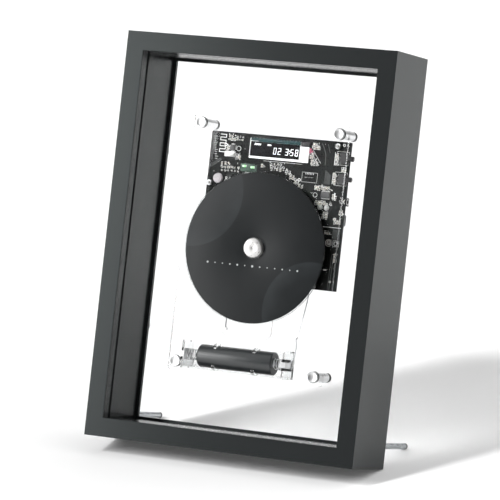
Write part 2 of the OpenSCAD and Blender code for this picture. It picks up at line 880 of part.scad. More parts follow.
// Audio socket on the rear of the board, open to the right
module headphone_jack() {
    y = board_back + jack_t / 2;
    color(moulded_black) lean() from_middle() difference() {
        block([board_x1 - jack_len, board_back, jack_z - jack_w / 2],
            [board_x1, board_back + jack_t, jack_z + jack_w / 2]);
        bar_x(y, jack_z, jack_r, board_x1 - jack_bore, board_x1 + cut);
    }
}

// Charging socket on the rear of the board: a flat steel shell with a tongue
module charging_socket() {
    y = board_back + usb_t / 2;
    color(satin_steel) lean() from_middle() translate([board_x1 - usb_len, y, usb_z])
        rotate([90, 0, 90]) {
            linear_extrude(height = usb_len) difference() {
                round_rect(-usb_t / 2, -usb_w / 2, usb_t / 2, usb_w / 2, usb_t / 2 - 0.1);
                round_rect(-usb_t / 2 + usb_wall, -usb_w / 2 + usb_wall, usb_t / 2 - usb_wall,
                    usb_w / 2 - usb_wall, usb_t / 2 - 0.1 - usb_wall);
            }
            linear_extrude(height = 1)
                round_rect(-usb_t / 2, -usb_w / 2, usb_t / 2, usb_w / 2, usb_t / 2 - 0.1);
            linear_extrude(height = usb_len - 0.6)
                round_rect(-usb_tongue_t / 2, -usb_tongue_w / 2, usb_tongue_t / 2,
                    usb_tongue_w / 2, 0.1);
        }
}

// Side switches, each with a slot for the stem of its button
module switch_bodies() {
    color(satin_steel) lean() from_middle() for (z = switch_z) difference() {
        block([switch_x1 - switch_len, board_y - switch_t, z - switch_w / 2],
            [switch_x1, board_y, z + switch_w / 2]);
        block([switch_x1 - stem_in - button_travel - slip, stem_y0 - stem_play,
            z - stem_w / 2 - stem_play],
            [switch_x1 + cut, stem_y0 + stem_t + stem_play, z + stem_w / 2 + stem_play]);
    }
}

// A round button on a flat stem
module side_button(z) {
    color(moulded_black) lean() from_middle() {
        translate([button_x0, button_y, z]) rotate([0, 90, 0]) rotate_extrude()
            polygon([[0, 0], [button_r, 0], [button_r, button_len - 0.6],
                [button_r - 0.6, button_len], [0, button_len]]);
        block([switch_x1 - stem_in, stem_y0, z - stem_w / 2],
            [button_x0 + 0.5, stem_y0 + stem_t, z + stem_w / 2]);
    }
}

module upper_button() { side_button(switch_z[0]); }
module lower_button() { side_button(switch_z[1]); }

// ---------------------------------------------------------------- drive

// Moulded base behind the mounting plate, held on four posts
module drive_base() {
    color(moulded_black) lean() from_middle() difference() {
        union() {
            slab(base_y, base_t) round_rect(base_x0, base_z0, base_x1, base_z1, base_r);
            for (p = base_posts) bar_y(p[0], p[1], post_r, plate_back + damper_t, base_y + 0.5);
            bar_y(0, 0, motor_d / 2 + base_rim, base_y - 1.5, base_back);
        }
        bar_y(0, 0, motor_d / 2 + fit, base_y - 2 - cut, base_back + cut);
        for (p = base_posts) bar_y(p[0], p[1], small_r + fit, plate_back, base_back + cut);
        bar_y(idler_x, idler_z, axle_r + fit, base_y - cut, base_back + cut);
        bar_y(pinion_x, pinion_z, axle_r + slip, base_y - cut, base_back + cut);
        slab(base_y - cut, base_t + 2 * cut)
            round_rect(base_hole[0], base_hole[1], base_hole[2], base_hole[3], 3);
    }
}

module drive_dampers() {
    color(rubber_grey) lean() from_middle() slab(plate_back, damper_t) for (p = base_posts)
        translate(p) difference() {
            circle(post_r);
            circle(small_r + fit);
        }
}

module spindle_motor() {
    color(satin_steel) lean() from_middle() difference() {
        union() {
            bar_y(0, 0, motor_d / 2, motor_y, motor_y + motor_len);
            bar_y(0, 0, motor_boss_r, motor_y - motor_boss, motor_y + 0.5);
            bar_y(0, 0, motor_boss_r, motor_y + motor_len - 0.5, motor_y + motor_len + 1.2);
        }
        bar_y(0, 0, shaft_r + fit, motor_y - 3, motor_y + motor_len + 3);
    }
}

module spindle_shaft() {
    color(bright_steel) lean() from_middle()
        bar_y(0, 0, shaft_r, table_y + table_t, motor_y + motor_len + 1.8);
}

// Turntable: spigot for the hole of the disc, flange and boss on the shaft
module turntable() {
    color(moulded_black) lean() from_middle() difference() {
        union() {
            bar_y(0, 0, spigot_r, disc_y, table_y + 0.3);
            bar_y(0, 0, table_r, table_y, table_y + table_t);
            bar_y(0, 0, table_boss_r, table_y + table_t - 0.3, table_y + table_t + table_boss);
        }
        bar_y(0, 0, magnet_r + fit, disc_y - cut, disc_y + magnet_t);
        bar_y(0, 0, puck_spigot_r + fit, disc_y - cut, disc_y + puck_spigot + 0.4);
        bar_y(0, 0, shaft_r + fit, table_y + table_t, table_y + table_t + table_boss + cut);
    }
}

module hub_magnet() {
    color([0.4, 0.4, 0.42]) lean() from_middle() slab(disc_y + 0.05, magnet_t - 0.05)
        difference() {
            circle(magnet_r);
            circle(magnet_in);
        }
}

module disc() {
    color([0.25, 0.27, 0.27]) lean() from_middle() slab(disc_y, disc_t) difference() {
        circle(disc_d / 2);
        circle(disc_hole / 2);
    }
}

// Turned puck that clamps the disc to the magnet in the turntable
module disc_puck() {
    y = disc_y - seat_gap;
    color(bright_steel) lean() from_middle() {
        translate([0, y, 0]) rotate([90, 0, 0]) rotate_extrude()
            polygon([[0, 0], [puck_d / 2, 0], [puck_d / 2, puck_t - 0.6],
                [puck_d / 2 - 0.6, puck_t], [0, puck_t]]);
        bar_y(0, 0, puck_spigot_r, y - 0.5, y + puck_spigot);
    }
}

// Outline of the rack: teeth towards the idler, with a gap level with its axis
module rack_shape() {
    first = idler_z - PI * rack_m * (floor((idler_z - lens_z + rack_down) / (PI * rack_m)) + 0.5);
    tooth = [[-1.15, -1.05], [0.9, -0.32], [0.9, 0.32], [-1.15, 1.05]];   // in modules
    polygon(concat(
        [[rack_back, first - 1.3]],
        [for (k = [0 : rack_teeth - 1], p = tooth)
            [rack_x + rack_m * p[0], first + rack_m * (k * PI + p[1])]],
        [[rack_back, first + rack_m * ((rack_teeth - 1) * PI + 1.3)]]
    ));
}

// Carriage of the optical pickup: body, bush on the rod, fork on the plate, rack
module optical_pickup() {
    z0 = lens_z - body_down;
    z1 = lens_z + body_up;
    color(moulded_black) lean() from_middle() difference() {
        union() {
            block([body_x0, body_y0, z0], [body_x1, body_y1, z1]);
            translate([rod_x, rod_y, lens_z - bush_down])
                cylinder(h = bush_down + body_up, r = bush_r);
            block([body_x1 - 1, plate_y - slip - fork_t, z0 + 0.5],
                [window_x1 + fork_reach, plate_y - slip, z0 + 0.5 + fork_w]);
            block([body_x1 - 1, plate_back + slip, z0 + 0.5],
                [window_x1 + fork_reach, body_y1, z0 + 0.5 + fork_w]);
            slab(rack_y0, rack_t) rack_shape();
            block([rack_back, body_y1 - 0.5, z0 + 8], [rack_back + 1.6, rack_y0 + 0.5, z1]);
        }
        translate([rod_x, rod_y, lens_z - bush_down - cut])
            cylinder(h = bush_down + body_up + 2 * cut, r = rod_r + fit);
        bar_y(0, lens_z, lens_hole_r, body_y0 - cut, lens_cup_y1);
    }
}

// Lens in its round holder, free to move towards and away from the disc
module objective_lens() {
    color([0.5, 0.6, 0.75]) lean() from_middle() translate([0, lens_y0, lens_z])
        rotate([-90, 0, 0]) rotate_extrude()
            polygon([[0, 0], [1.6, 0.35], [2.2, 0.8], [lens_r_out, 0.8],
                [lens_r_out, lens_len], [0, lens_len]]);
}

module guide_rod() {
    color(bright_steel) lean() from_middle()
        translate([rod_x, rod_y, rod_z0]) cylinder(h = rod_z1 - rod_z0, r = rod_r);
}

// Bent clips that hold the ends of the rod to the rear of the mounting plate
module rod_clips() {
    color(satin_steel) lean() from_middle() for (z = [rod_z0, rod_z1 - clip_t])
        difference() {
            union() {
                block([rod_x - clip_w / 2, rod_y - 1.6, z],
                    [rod_x + clip_w / 2, plate_back + 0.8, z + clip_t]);
                block([window_x0 - 5, plate_back, z],
                    [rod_x + clip_w / 2, plate_back + 0.8, z + clip_t]);
            }
            translate([rod_x, rod_y, z - cut]) cylinder(h = clip_t + 2 * cut, r = rod_r + fit);
        }
}

module sled_motor() {
    color(satin_steel) lean() from_middle() difference() {
        union() {
            bar_y(pinion_x, pinion_z, sled_motor_r, base_back, base_back + sled_motor_len);
            bar_y(pinion_x, pinion_z, 2, base_back + sled_motor_len - 0.5,
                base_back + sled_motor_len + 1);
        }
        bar_y(pinion_x, pinion_z, axle_r + fit, base_back - cut, base_back + sled_motor_len - 2);
    }
}

// Pinion with the shaft of the sled motor
module motor_pinion() {
    color(gear_white) lean() from_middle() {
        translate([pinion_x, 0, pinion_z]) slab(big_y0, big_t)
            gear(big_m, pinion_n, -90 + 180 / pinion_n);
        bar_y(pinion_x, pinion_z, axle_r, big_y0 - 0.4, base_back + sled_motor_len - 2.5);
    }
}

// Idler: a small wheel on the rack and a large wheel under the pinion
module idler_gear() {
    color(gear_white) lean() from_middle() translate([idler_x, 0, idler_z]) difference() {
        union() {
            slab(rack_y0, rack_t) gear(rack_m, small_n, 180);
            bar_y(0, 0, 3, rack_y0, big_y0 + 0.2);
            slab(big_y0, big_t) gear(big_m, big_n, 90);
        }
        bar_y(0, 0, axle_r + fit, rack_y0 - cut, big_y0 + big_t + cut);
    }
}

module idler_axle() {
    color(bright_steel) lean() from_middle() {
        bar_y(idler_x, idler_z, axle_r, rack_y0 - 0.4, base_back);
        bar_y(idler_x, idler_z, 1.5, rack_y0 - 0.9, rack_y0 - 0.3);
    }
}

top_rail();
bottom_rail();
left_stile();
right_stile();
corner_keys();
rear_pane();
turn_button_top_left();
turn_button_top_right();
turn_button_bottom_left();
turn_button_bottom_right();
rear_screws();
hanger_plates();
wall_bumpers();
support_peg_left();
support_peg_right();
peg_tip_left();
peg_tip_right();
standoff_barrels();
standoff_caps();
standoff_screws();
mounting_plate();
battery_holder();
holder_screws();
battery_cell();
contact_springs();
contact_plates();
battery_lead();
circuit_board();
board_spacers();
module_screws();
display_backlight();
display_panel();
display_ledge();
controller_chips();
power_inductor();
status_lamps();
board_connectors();
headphone_jack();
charging_socket();
switch_bodies();
upper_button();
lower_button();
drive_base();
drive_dampers();
spindle_motor();
spindle_shaft();
turntable();
hub_magnet();
disc();
disc_puck();
optical_pickup();
objective_lens();
guide_rod();
rod_clips();
sled_motor();
motor_pinion();
idler_gear();
idler_axle();
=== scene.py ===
"""Looks of a frame-mounted disc player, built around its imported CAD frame.

Every new piece is modelled upright, in millimetres: X runs to the right, Y back from the
front face of the picture frame, and Z up from its middle. Placement then turns it into
the leaning frame of the CAD model, in metres.
"""
from __future__ import annotations

import json
import logging
import math
import random
from dataclasses import dataclass
from enum import Enum
from typing import Iterable, Iterator, Sequence

import bpy
from mathutils import Matrix, Vector

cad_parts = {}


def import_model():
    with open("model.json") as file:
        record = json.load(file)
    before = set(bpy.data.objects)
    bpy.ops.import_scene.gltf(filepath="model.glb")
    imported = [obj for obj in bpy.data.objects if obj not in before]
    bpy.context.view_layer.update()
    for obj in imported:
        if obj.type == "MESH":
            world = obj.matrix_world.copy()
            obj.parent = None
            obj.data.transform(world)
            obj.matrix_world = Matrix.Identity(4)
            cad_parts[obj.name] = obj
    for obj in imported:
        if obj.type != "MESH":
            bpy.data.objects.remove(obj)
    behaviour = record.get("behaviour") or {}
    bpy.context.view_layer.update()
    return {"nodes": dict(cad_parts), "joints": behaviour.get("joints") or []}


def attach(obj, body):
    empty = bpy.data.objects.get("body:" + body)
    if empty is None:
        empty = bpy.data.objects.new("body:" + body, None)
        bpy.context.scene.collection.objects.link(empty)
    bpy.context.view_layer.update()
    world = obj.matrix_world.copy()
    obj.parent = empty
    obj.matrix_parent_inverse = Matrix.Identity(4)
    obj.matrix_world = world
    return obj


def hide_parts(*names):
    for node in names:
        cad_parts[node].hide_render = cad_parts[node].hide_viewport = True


LOG = logging.getLogger("disc_player")
MM = 0.001
BOTH = (-1, 1)  # the two ways from a middle
SMOOTH_DEG = 35  # edges sharper than this angle stay sharp

Piece = bpy.types.Object
Socket = bpy.types.NodeSocket
Colour = tuple[float, float, float]
Point = tuple[float, float, float]
Spot = tuple[float, float]
Line = tuple[float, float, float, float, float]  # a strip's x, z, x, z and width


class Body(str, Enum):
    """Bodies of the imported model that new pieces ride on."""

    FRAME = "frame"
    SPINDLE = "spindle"
    DISC = "disc"
    PUCK = "puck"
    SLED = "sled"
    UPPER_BUTTON = "upper_button"
    LOWER_BUTTON = "lower_button"
    PEG_LEFT = "peg_left"
    PEG_RIGHT = "peg_right"


class Axis(Enum):
    """Direction that a turned piece or a brushed line runs along."""

    X = "x"
    Y = "y"
    Z = "z"


class Depth:
    """Depths behind the frame's front face that several sub-assemblies share, in mm."""

    DISC = 30.0
    PLATE = 36.5
    PLATE_BACK = 39.5
    BOARD = 42.0
    BOARD_BACK = 43.6
    PANE = 60.0
    FRAME_BACK = 63.0


# ------------------------------------------------------------------ placement


@dataclass(frozen=True)
class Placement:
    """Where the upright drawing stands in the leaning frame.

    Attributes:
        matrix: turns upright millimetres into metres of the CAD model.
    """

    matrix: Matrix

    @classmethod
    def from_spindle(cls, joints: Sequence[dict]) -> "Placement":
        """Reads the lean and the middle from the spindle's joint, at the disc's face.

        Args:
            joints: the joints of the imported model.

        Returns:
            The placement of the upright drawing.
        """
        spindle = next(j for j in joints if j["name"] == "spindle_spin")
        forward = Vector(spindle["axis"])
        lean = math.atan2(forward.z, -forward.y)
        return cls(
            Matrix.Translation(Vector(spindle["pos_m"]))
            @ Matrix.Rotation(-lean, 4, "X")
            @ Matrix.Translation((0, -Depth.DISC * MM, 0))
            @ Matrix.Scale(MM, 4)
        )

    def metres(self) -> Matrix:
        """Turns upright metres into metres of the CAD model."""
        return self.matrix @ Matrix.Scale(1 / MM, 4)


# ------------------------------------------------------------------- node graph


class Graph:
    """The node tree of a material or world, with short ways to add and join its nodes."""

    placement: Placement

    def __init__(self, owner: bpy.types.ID) -> None:
        """Starts an empty tree.

        Args:
            owner: the material or world that it belongs to.
        """
        owner.use_nodes = True
        self.owner = owner
        self.tree = owner.node_tree
        self.tree.nodes.clear()
        world = isinstance(owner, bpy.types.World)
        self.output = self.node("OutputWorld" if world else "OutputMaterial")

    def node(self, kind: str, inputs: dict | None = None, **settings: object) -> bpy.types.Node:
        """Adds a node.

        Args:
            kind: the node's type, without its ShaderNode prefix.
            inputs: values or sockets for its inputs, by name or number.
            **settings: properties of the node.

        Returns:
            The new node.
        """
        made = self.tree.nodes.new("ShaderNode" + kind)
        for key, value in settings.items():
            setattr(made, key, value)
        for key, value in (inputs or {}).items():
            self.feed(made.inputs[key], value)
        return made

    def feed(self, socket: Socket, value: object) -> None:
        """Gives a socket a value, a colour or a link.

        Args:
            socket: the input socket.
            value: a number, a tuple, or another node's output socket.
        """
        if isinstance(value, Socket):
            self.tree.links.new(value, socket)
        elif socket.type == "RGBA":
            socket.default_value = (*value[:3], 1.0)
        else:
            socket.default_value = value

    def surface(self, shader: Socket) -> bpy.types.ID:
        """Joins a shader to the output and returns the tree's owner."""
        self.feed(self.output.inputs["Surface"], shader)
        return self.owner

    def principled(self, inputs: dict) -> bpy.types.ID:
        """Finishes the tree with one principled shader and returns its owner."""
        return self.surface(self.node("BsdfPrincipled", inputs).outputs[0])

    def upright(self, centre: Point = (0, 0, 0), scale: Point = (1, 1, 1)) -> Socket:
        """Object coordinates turned upright, in metres from a centre.

        Args:
            centre: upright place of the origin, in mm.
            scale: stretch of the pattern's coordinates.

        Returns:
            The coordinates' socket.
        """
        back = self.placement.metres().inverted()
        shift = back.translation - Vector(centre) * MM
        coords = self.node("TexCoord").outputs["Object"]
        turned = self.node("Mapping", {"Vector": coords, "Rotation": back.to_euler(),
                                       "Location": shift})
        if scale == (1, 1, 1):
            return turned.outputs[0]
        return self.node("Mapping", {"Vector": turned.outputs[0], "Scale": scale}).outputs[0]

    def noise(self, size_mm: float, detail: float = 3, coords: object = None) -> Socket:
        """A noise whose lumps have about the given size.

        Args:
            size_mm: size of a lump.
            detail: how many finer layers it has.
            coords: coordinates in metres, upright ones if left out.

        Returns:
            The noise's factor socket.
        """
        return self.node("TexNoise", {"Vector": coords or self.upright(),
                                      "Scale": 1000 / size_mm, "Detail": detail}).outputs[0]

    def cells(self, coords: object, size_mm: float, **settings: object) -> Socket:
        """Distances to scattered points that lie about a given size apart.

        Args:
            coords: coordinates in metres.
            size_mm: size of a cell.
            **settings: properties of the texture, and how random the points lie.

        Returns:
            The distance socket.
        """
        inputs = {"Vector": coords, "Scale": 1000 / size_mm}
        if "randomness" in settings:
            inputs["Randomness"] = settings.pop("randomness")
        return self.node("TexVoronoi", inputs, **settings).outputs["Distance"]

    def reach(self, coords: object) -> Socket:
        """Distance of the coordinates from their centre."""
        return self.node("VectorMath", {0: coords}, operation="LENGTH").outputs["Value"]

    def rings(self, coords: object, pitch_mm: float, **inputs: float) -> Socket:
        """Rings about the depth axis.

        Args:
            coords: coordinates in metres from a centre.
            pitch_mm: distance between rings.
            **inputs: values for the wave texture's other inputs.

        Returns:
            The rings' socket, from 0 to 1.
        """
        made = self.node("TexWave", {"Vector": coords, **inputs,
                                     "Scale": 2 * math.pi / (20 * pitch_mm * MM)},
                         wave_type="RINGS", rings_direction="Y")
        return made.outputs["Fac"]

    def spread(self, value: Socket, low: float, high: float,
               start: float = 0.3, end: float = 0.7) -> Socket:
        """Maps a value from start..end to low..high, clamped."""
        return self.node("MapRange", {"Value": value, "From Min": start, "From Max": end,
                                      "To Min": low, "To Max": high}).outputs["Result"]

    def maths(self, how: str, a: object, b: object) -> Socket:
        """One arithmetic step on two values or sockets."""
        return self.node("Math", {0: a, 1: b}, operation=how).outputs[0]

    def mix(self, share: object, a: object, b: object) -> Socket:
        """Mixes two colours or colour sockets by a share."""
        return self.node("MixRGB", {"Fac": share, "Color1": a, "Color2": b}).outputs[0]

    def blended(self, share: object, a: bpy.types.Node, b: bpy.types.Node) -> bpy.types.Node:
        """Mixes two shaders by a share."""
        return self.node("MixShader", {0: share, 1: a.outputs[0], 2: b.outputs[0]})

    def bump(self, height: Socket, depth_mm: float) -> Socket:
        """A bump of the given depth from a height of 0 to 1."""
        return self.node("Bump", {"Height": height, "Distance": depth_mm * MM}).outputs["Normal"]


# --------------------------------------------------------------------- finishes


@dataclass(frozen=True)
class Finish:
    """A finish that a piece can be dressed in.

    Attributes:
        name: name of the material.
        colour: its base colour, linear.
        roughness: its middle roughness.
    """

    name: str
    colour: Colour
    roughness: float = 0.4

    def make(self) -> bpy.types.Material:
        """Builds the material, or returns the one already built."""
        name = "look_" + self.name
        return bpy.data.materials.get(name) or self.build(Graph(bpy.data.materials.new(name)))

    def times(self, share: float) -> Colour:
        """The base colour, made darker or lighter by a share."""
        return tuple(min(1.0, c * share) for c in self.colour)

    def flecked(self, graph: Graph, pattern: Socket, share: float = 0.9) -> Socket:
        """The base colour, darker by a share where a pattern is low."""
        return graph.mix(graph.spread(pattern, 0, 1), self.times(share), self.colour)

    def build(self, graph: Graph) -> bpy.types.Material:
        """Builds the material's nodes.

        Args:
            graph: the empty node graph.

        Returns:
            The finished material.
        """
        raise NotImplementedError


@dataclass(frozen=True)
class GrainedFinish(Finish):
    """An opaque surface with a fine grain and soft changes of tone.

    Attributes:
        grain_mm: size of the grain.
        grain_depth_mm: depth of the grain.
        tone: share by which the colour changes over the surface.
        tone_mm: size of a patch of tone.
        metallic: 1 for bare metal.
        coat: weight of a clear coat.
        specular: specular level.
        sheen_tint: tint of its reflections.
        wear: share by which the roughness changes over the surface.
    """

    grain_mm: float = 0.4
    grain_depth_mm: float = 0.01
    tone: float = 0.12
    tone_mm: float = 18
    metallic: float = 0.0
    coat: float = 0.0
    specular: float = 0.5
    sheen_tint: Colour = (1.0, 1.0, 1.0)
    wear: float = 0.1

    def build(self, graph: Graph) -> bpy.types.Material:
        """Builds colour patches, a roughness that follows them, and the grain.

        Args:
            graph: the empty node graph.

        Returns:
            The finished material.
        """
        patch = graph.noise(self.tone_mm, 4)
        rough = (self.roughness * (1 - self.wear), min(1.0, self.roughness * (1 + self.wear)))
        tint = graph.mix(graph.spread(patch, 0, 1), self.times(1 - self.tone),
                         self.times(1 + self.tone))
        return graph.principled({
            "Base Color": tint, "Metallic": self.metallic, "Roughness": graph.spread(patch, *rough),
            "Specular IOR Level": self.specular, "Specular Tint": self.sheen_tint,
            "Coat Weight": self.coat, "Coat Roughness": 0.12,
            "Normal": graph.bump(graph.noise(self.grain_mm, 2), self.grain_depth_mm)})


@dataclass(frozen=True)
class BrushedFinish(Finish):
    """A surface with fine lines along one direction, such as bare metal.

    Attributes:
        along: direction of the lines.
        line_mm: width of a line.
        depth_mm: depth of a line.
        metallic: 1 for bare metal.
        specular: specular level.
    """

    along: Axis = Axis.X
    line_mm: float = 0.25
    depth_mm: float = 0.004
    metallic: float = 1.0
    specular: float = 0.5

    def build(self, graph: Graph) -> bpy.types.Material:
        """Builds a noise stretched along the lines, in roughness, tone and height.

        Args:
            graph: the empty node graph.

        Returns:
            The finished material.
        """
        stretch = {Axis.X: (0.03, 1, 1), Axis.Y: (1, 0.03, 1), Axis.Z: (1, 1, 0.03)}[self.along]
        lines = graph.noise(self.line_mm, 3, graph.upright(scale=stretch))
        return graph.principled({
            "Base Color": self.flecked(graph, lines), "Metallic": self.metallic,
            "Roughness": graph.spread(lines, self.roughness * 0.8, self.roughness * 1.25),
            "Specular IOR Level": self.specular, "Normal": graph.bump(lines, self.depth_mm)})


@dataclass(frozen=True)
class TurnedFinish(Finish):
    """Metal faced on a lathe: fine rings about an axis through a centre.

    Attributes:
        centre: upright place of the axis, in mm.
        pitch_mm: distance between rings.
        depth_mm: depth of the rings.
    """

    centre: Point = (0, 0, 0)
    pitch_mm: float = 0.3
    depth_mm: float = 0.01

    def build(self, graph: Graph) -> bpy.types.Material:
        """Builds the rings and faint spots of tone.

        Args:
            graph: the empty node graph.

        Returns:
            The finished material.
        """
        coords = graph.upright(self.centre)
        rings = graph.rings(coords, self.pitch_mm, Distortion=0.4, Detail=1)
        spots = graph.noise(2.5, 2, coords)
        return graph.principled({
            "Base Color": self.flecked(graph, spots), "Metallic": 1.0,
            "Roughness": graph.spread(spots, self.roughness * 0.85, self.roughness * 1.2),
            "Normal": graph.bump(rings, self.depth_mm)})


@dataclass(frozen=True)
class ClearFinish(Finish):
    """Clear acrylic or lacquer that lets light through to what is behind it.

    Attributes:
        ior: index of refraction.
        shade: share of light that its shadow lets through.
    """

    ior: float = 1.49
    shade: float = 0.93

    def build(self, graph: Graph) -> bpy.types.Material:
        """Builds refracting plastic whose shadow lets a share of the light through.

        Args:
            graph: the empty node graph.

        Returns:
            The finished material.
        """
        haze = graph.noise(25, 3)
        plastic = graph.node("BsdfPrincipled", {
            "Base Color": self.colour, "IOR": self.ior, "Transmission Weight": 1.0,
            "Roughness": graph.spread(haze, self.roughness * 0.5, self.roughness * 1.5)})
        clear = graph.node("BsdfTransparent", {"Color": self.times(self.shade)})
        shadow = graph.node("LightPath").outputs["Is Shadow Ray"]
        return graph.surface(graph.blended(shadow, plastic, clear).outputs[0])


@dataclass(frozen=True)
class GlowFinish(Finish):
    """A lit surface, such as a display's digits or a lamp; also used for a lamp's glow painted on
    the board.

    Attributes:
        glow: strength of its light.
    """

    glow: float = 1.0

    def build(self, graph: Graph) -> bpy.types.Material:
        """Builds a plastic that also gives light, a little uneven.

        Args:
            graph: the empty node graph.

        Returns:
            The finished material.
        """
        tint = self.flecked(graph, graph.noise(1.5, 2), 0.88)
        return graph.principled({
            "Base Color": tint, "Roughness": self.roughness, "Emission Color": tint,
            "Emission Strength": self.glow})


@dataclass(frozen=True)
class SolderMaskFinish(Finish):
    """A circuit board's black mask over copper, with small tinned vias.

    Attributes:
        patch_mm: size of a copper patch.
        via_mm: mean distance between vias.
        via_r_mm: radius of a via.
        tin: colour of a via.
    """

    patch_mm: float = 9
    via_mm: float = 5.2
    via_r_mm: float = 0.24
    tin: Colour = (0.55, 0.56, 0.55)

    def build(self, graph: Graph) -> bpy.types.Material:
        """Builds copper patches under the mask and the vias on it.

        Args:
            graph: the empty node graph.

        Returns:
            The finished material.
        """
        flat = graph.upright(scale=(1, 0.0001, 1))
        near, far = (graph.cells(flat, self.patch_mm, randomness=0.8, distance="CHEBYCHEV",
                                 feature=feature) for feature in ("F1", "F2"))
        seam = graph.spread(graph.maths("SUBTRACT", far, near), 0, 1, 0.02, 0.06)
        speck = graph.noise(0.5, 3)
        tint = graph.mix(graph.spread(speck, 0, 0.4, 0.5, 0.8),
                         graph.mix(seam, self.times(0.55), self.colour), self.times(3.2))
        via, reach = graph.cells(flat, self.via_mm), self.via_r_mm / self.via_mm
        ring = graph.maths("MULTIPLY", graph.spread(via, 1, 0, reach * 0.85, reach * 1.1),
                           graph.spread(via, 0, 1, reach * 0.3, reach * 0.45))
        return graph.principled({
            "Base Color": graph.mix(ring, tint, self.tin), "Metallic": ring,
            "Roughness": graph.spread(speck, self.roughness * 0.8, self.roughness * 1.3),
            "Specular IOR Level": 0.06, "Normal": graph.bump(seam, 0.01)})


@dataclass(frozen=True)
class DiscPrintFinish(Finish):
    """The disc's printed side: a dark ink with broad, soft rings a shade lighter.

    Attributes:
        petals: each ring's upright place across and up, outer radius and width, in mm.
        lift: how much lighter a ring is than the ink.
    """

    petals: tuple[tuple[float, float, float, float], ...] = ((-58, 40, 44, 16), (52, -46, 40, 14))
    lift: float = 2.2

    def build(self, graph: Graph) -> bpy.types.Material:
        """Builds the rings and a fine grain in the ink.

        Args:
            graph: the empty node graph.

        Returns:
            The finished material.
        """
        share = None
        for x, z, radius, width in self.petals:
            reach = graph.reach(graph.upright((x, Depth.DISC, z), (1, 0.001, 1)))
            outer = graph.spread(reach, 1, 0, (radius - 0.8) * MM, radius * MM)
            inner = graph.spread(reach, 0.25, 1, (radius - width) * MM, (radius - 1) * MM)
            ring = graph.maths("MULTIPLY", outer, inner)
            share = graph.maths("MAXIMUM", share, ring) if share else ring
        cloud = graph.noise(14, 3)
        share = graph.maths("MULTIPLY", share, graph.spread(cloud, 0.55, 1.0))
        return graph.principled({
            "Base Color": graph.mix(share, self.colour, self.times(self.lift)),
            "Roughness": graph.spread(cloud, self.roughness * 0.92, self.roughness * 1.1),
            "Specular IOR Level": 0.22, "Normal": graph.bump(graph.noise(0.35, 2), 0.0006)})


@dataclass(frozen=True)
class DiscDataFinish(Finish):
    """The disc's reading side: a mirror with a fine spiral that splits light.

    Attributes:
        track_r_mm: radii at which the written band starts and ends.
        pitch_mm: distance between the spiral's turns.
    """

    track_r_mm: Spot = (23, 56)
    pitch_mm: float = 0.4

    def build(self, graph: Graph) -> bpy.types.Material:
        """Builds a metal layer with a thin film and a slightly darker written band.

        Args:
            graph: the empty node graph.

        Returns:
            The finished material.
        """
        coords = graph.upright((0, Depth.DISC + 1, 0), (1, 0.001, 1))
        reach = graph.reach(coords)
        inner, outer = (r * MM for r in self.track_r_mm)
        band = graph.maths("MULTIPLY", graph.spread(reach, 0, 1, inner, inner + 0.0005),
                           graph.spread(reach, 1, 0, outer - 0.0005, outer))
        return graph.principled({
            "Base Color": graph.mix(band, self.colour, self.times(0.82)), "Metallic": 1.0,
            "Roughness": self.roughness, "Anisotropic": 0.7,
            "Coat Weight": 1.0, "Coat Roughness": 0.03,
            "Thin Film Thickness": 520.0, "Thin Film IOR": 1.6,
            "Normal": graph.bump(graph.rings(coords, self.pitch_mm, Distortion=0.0), 0.004)})


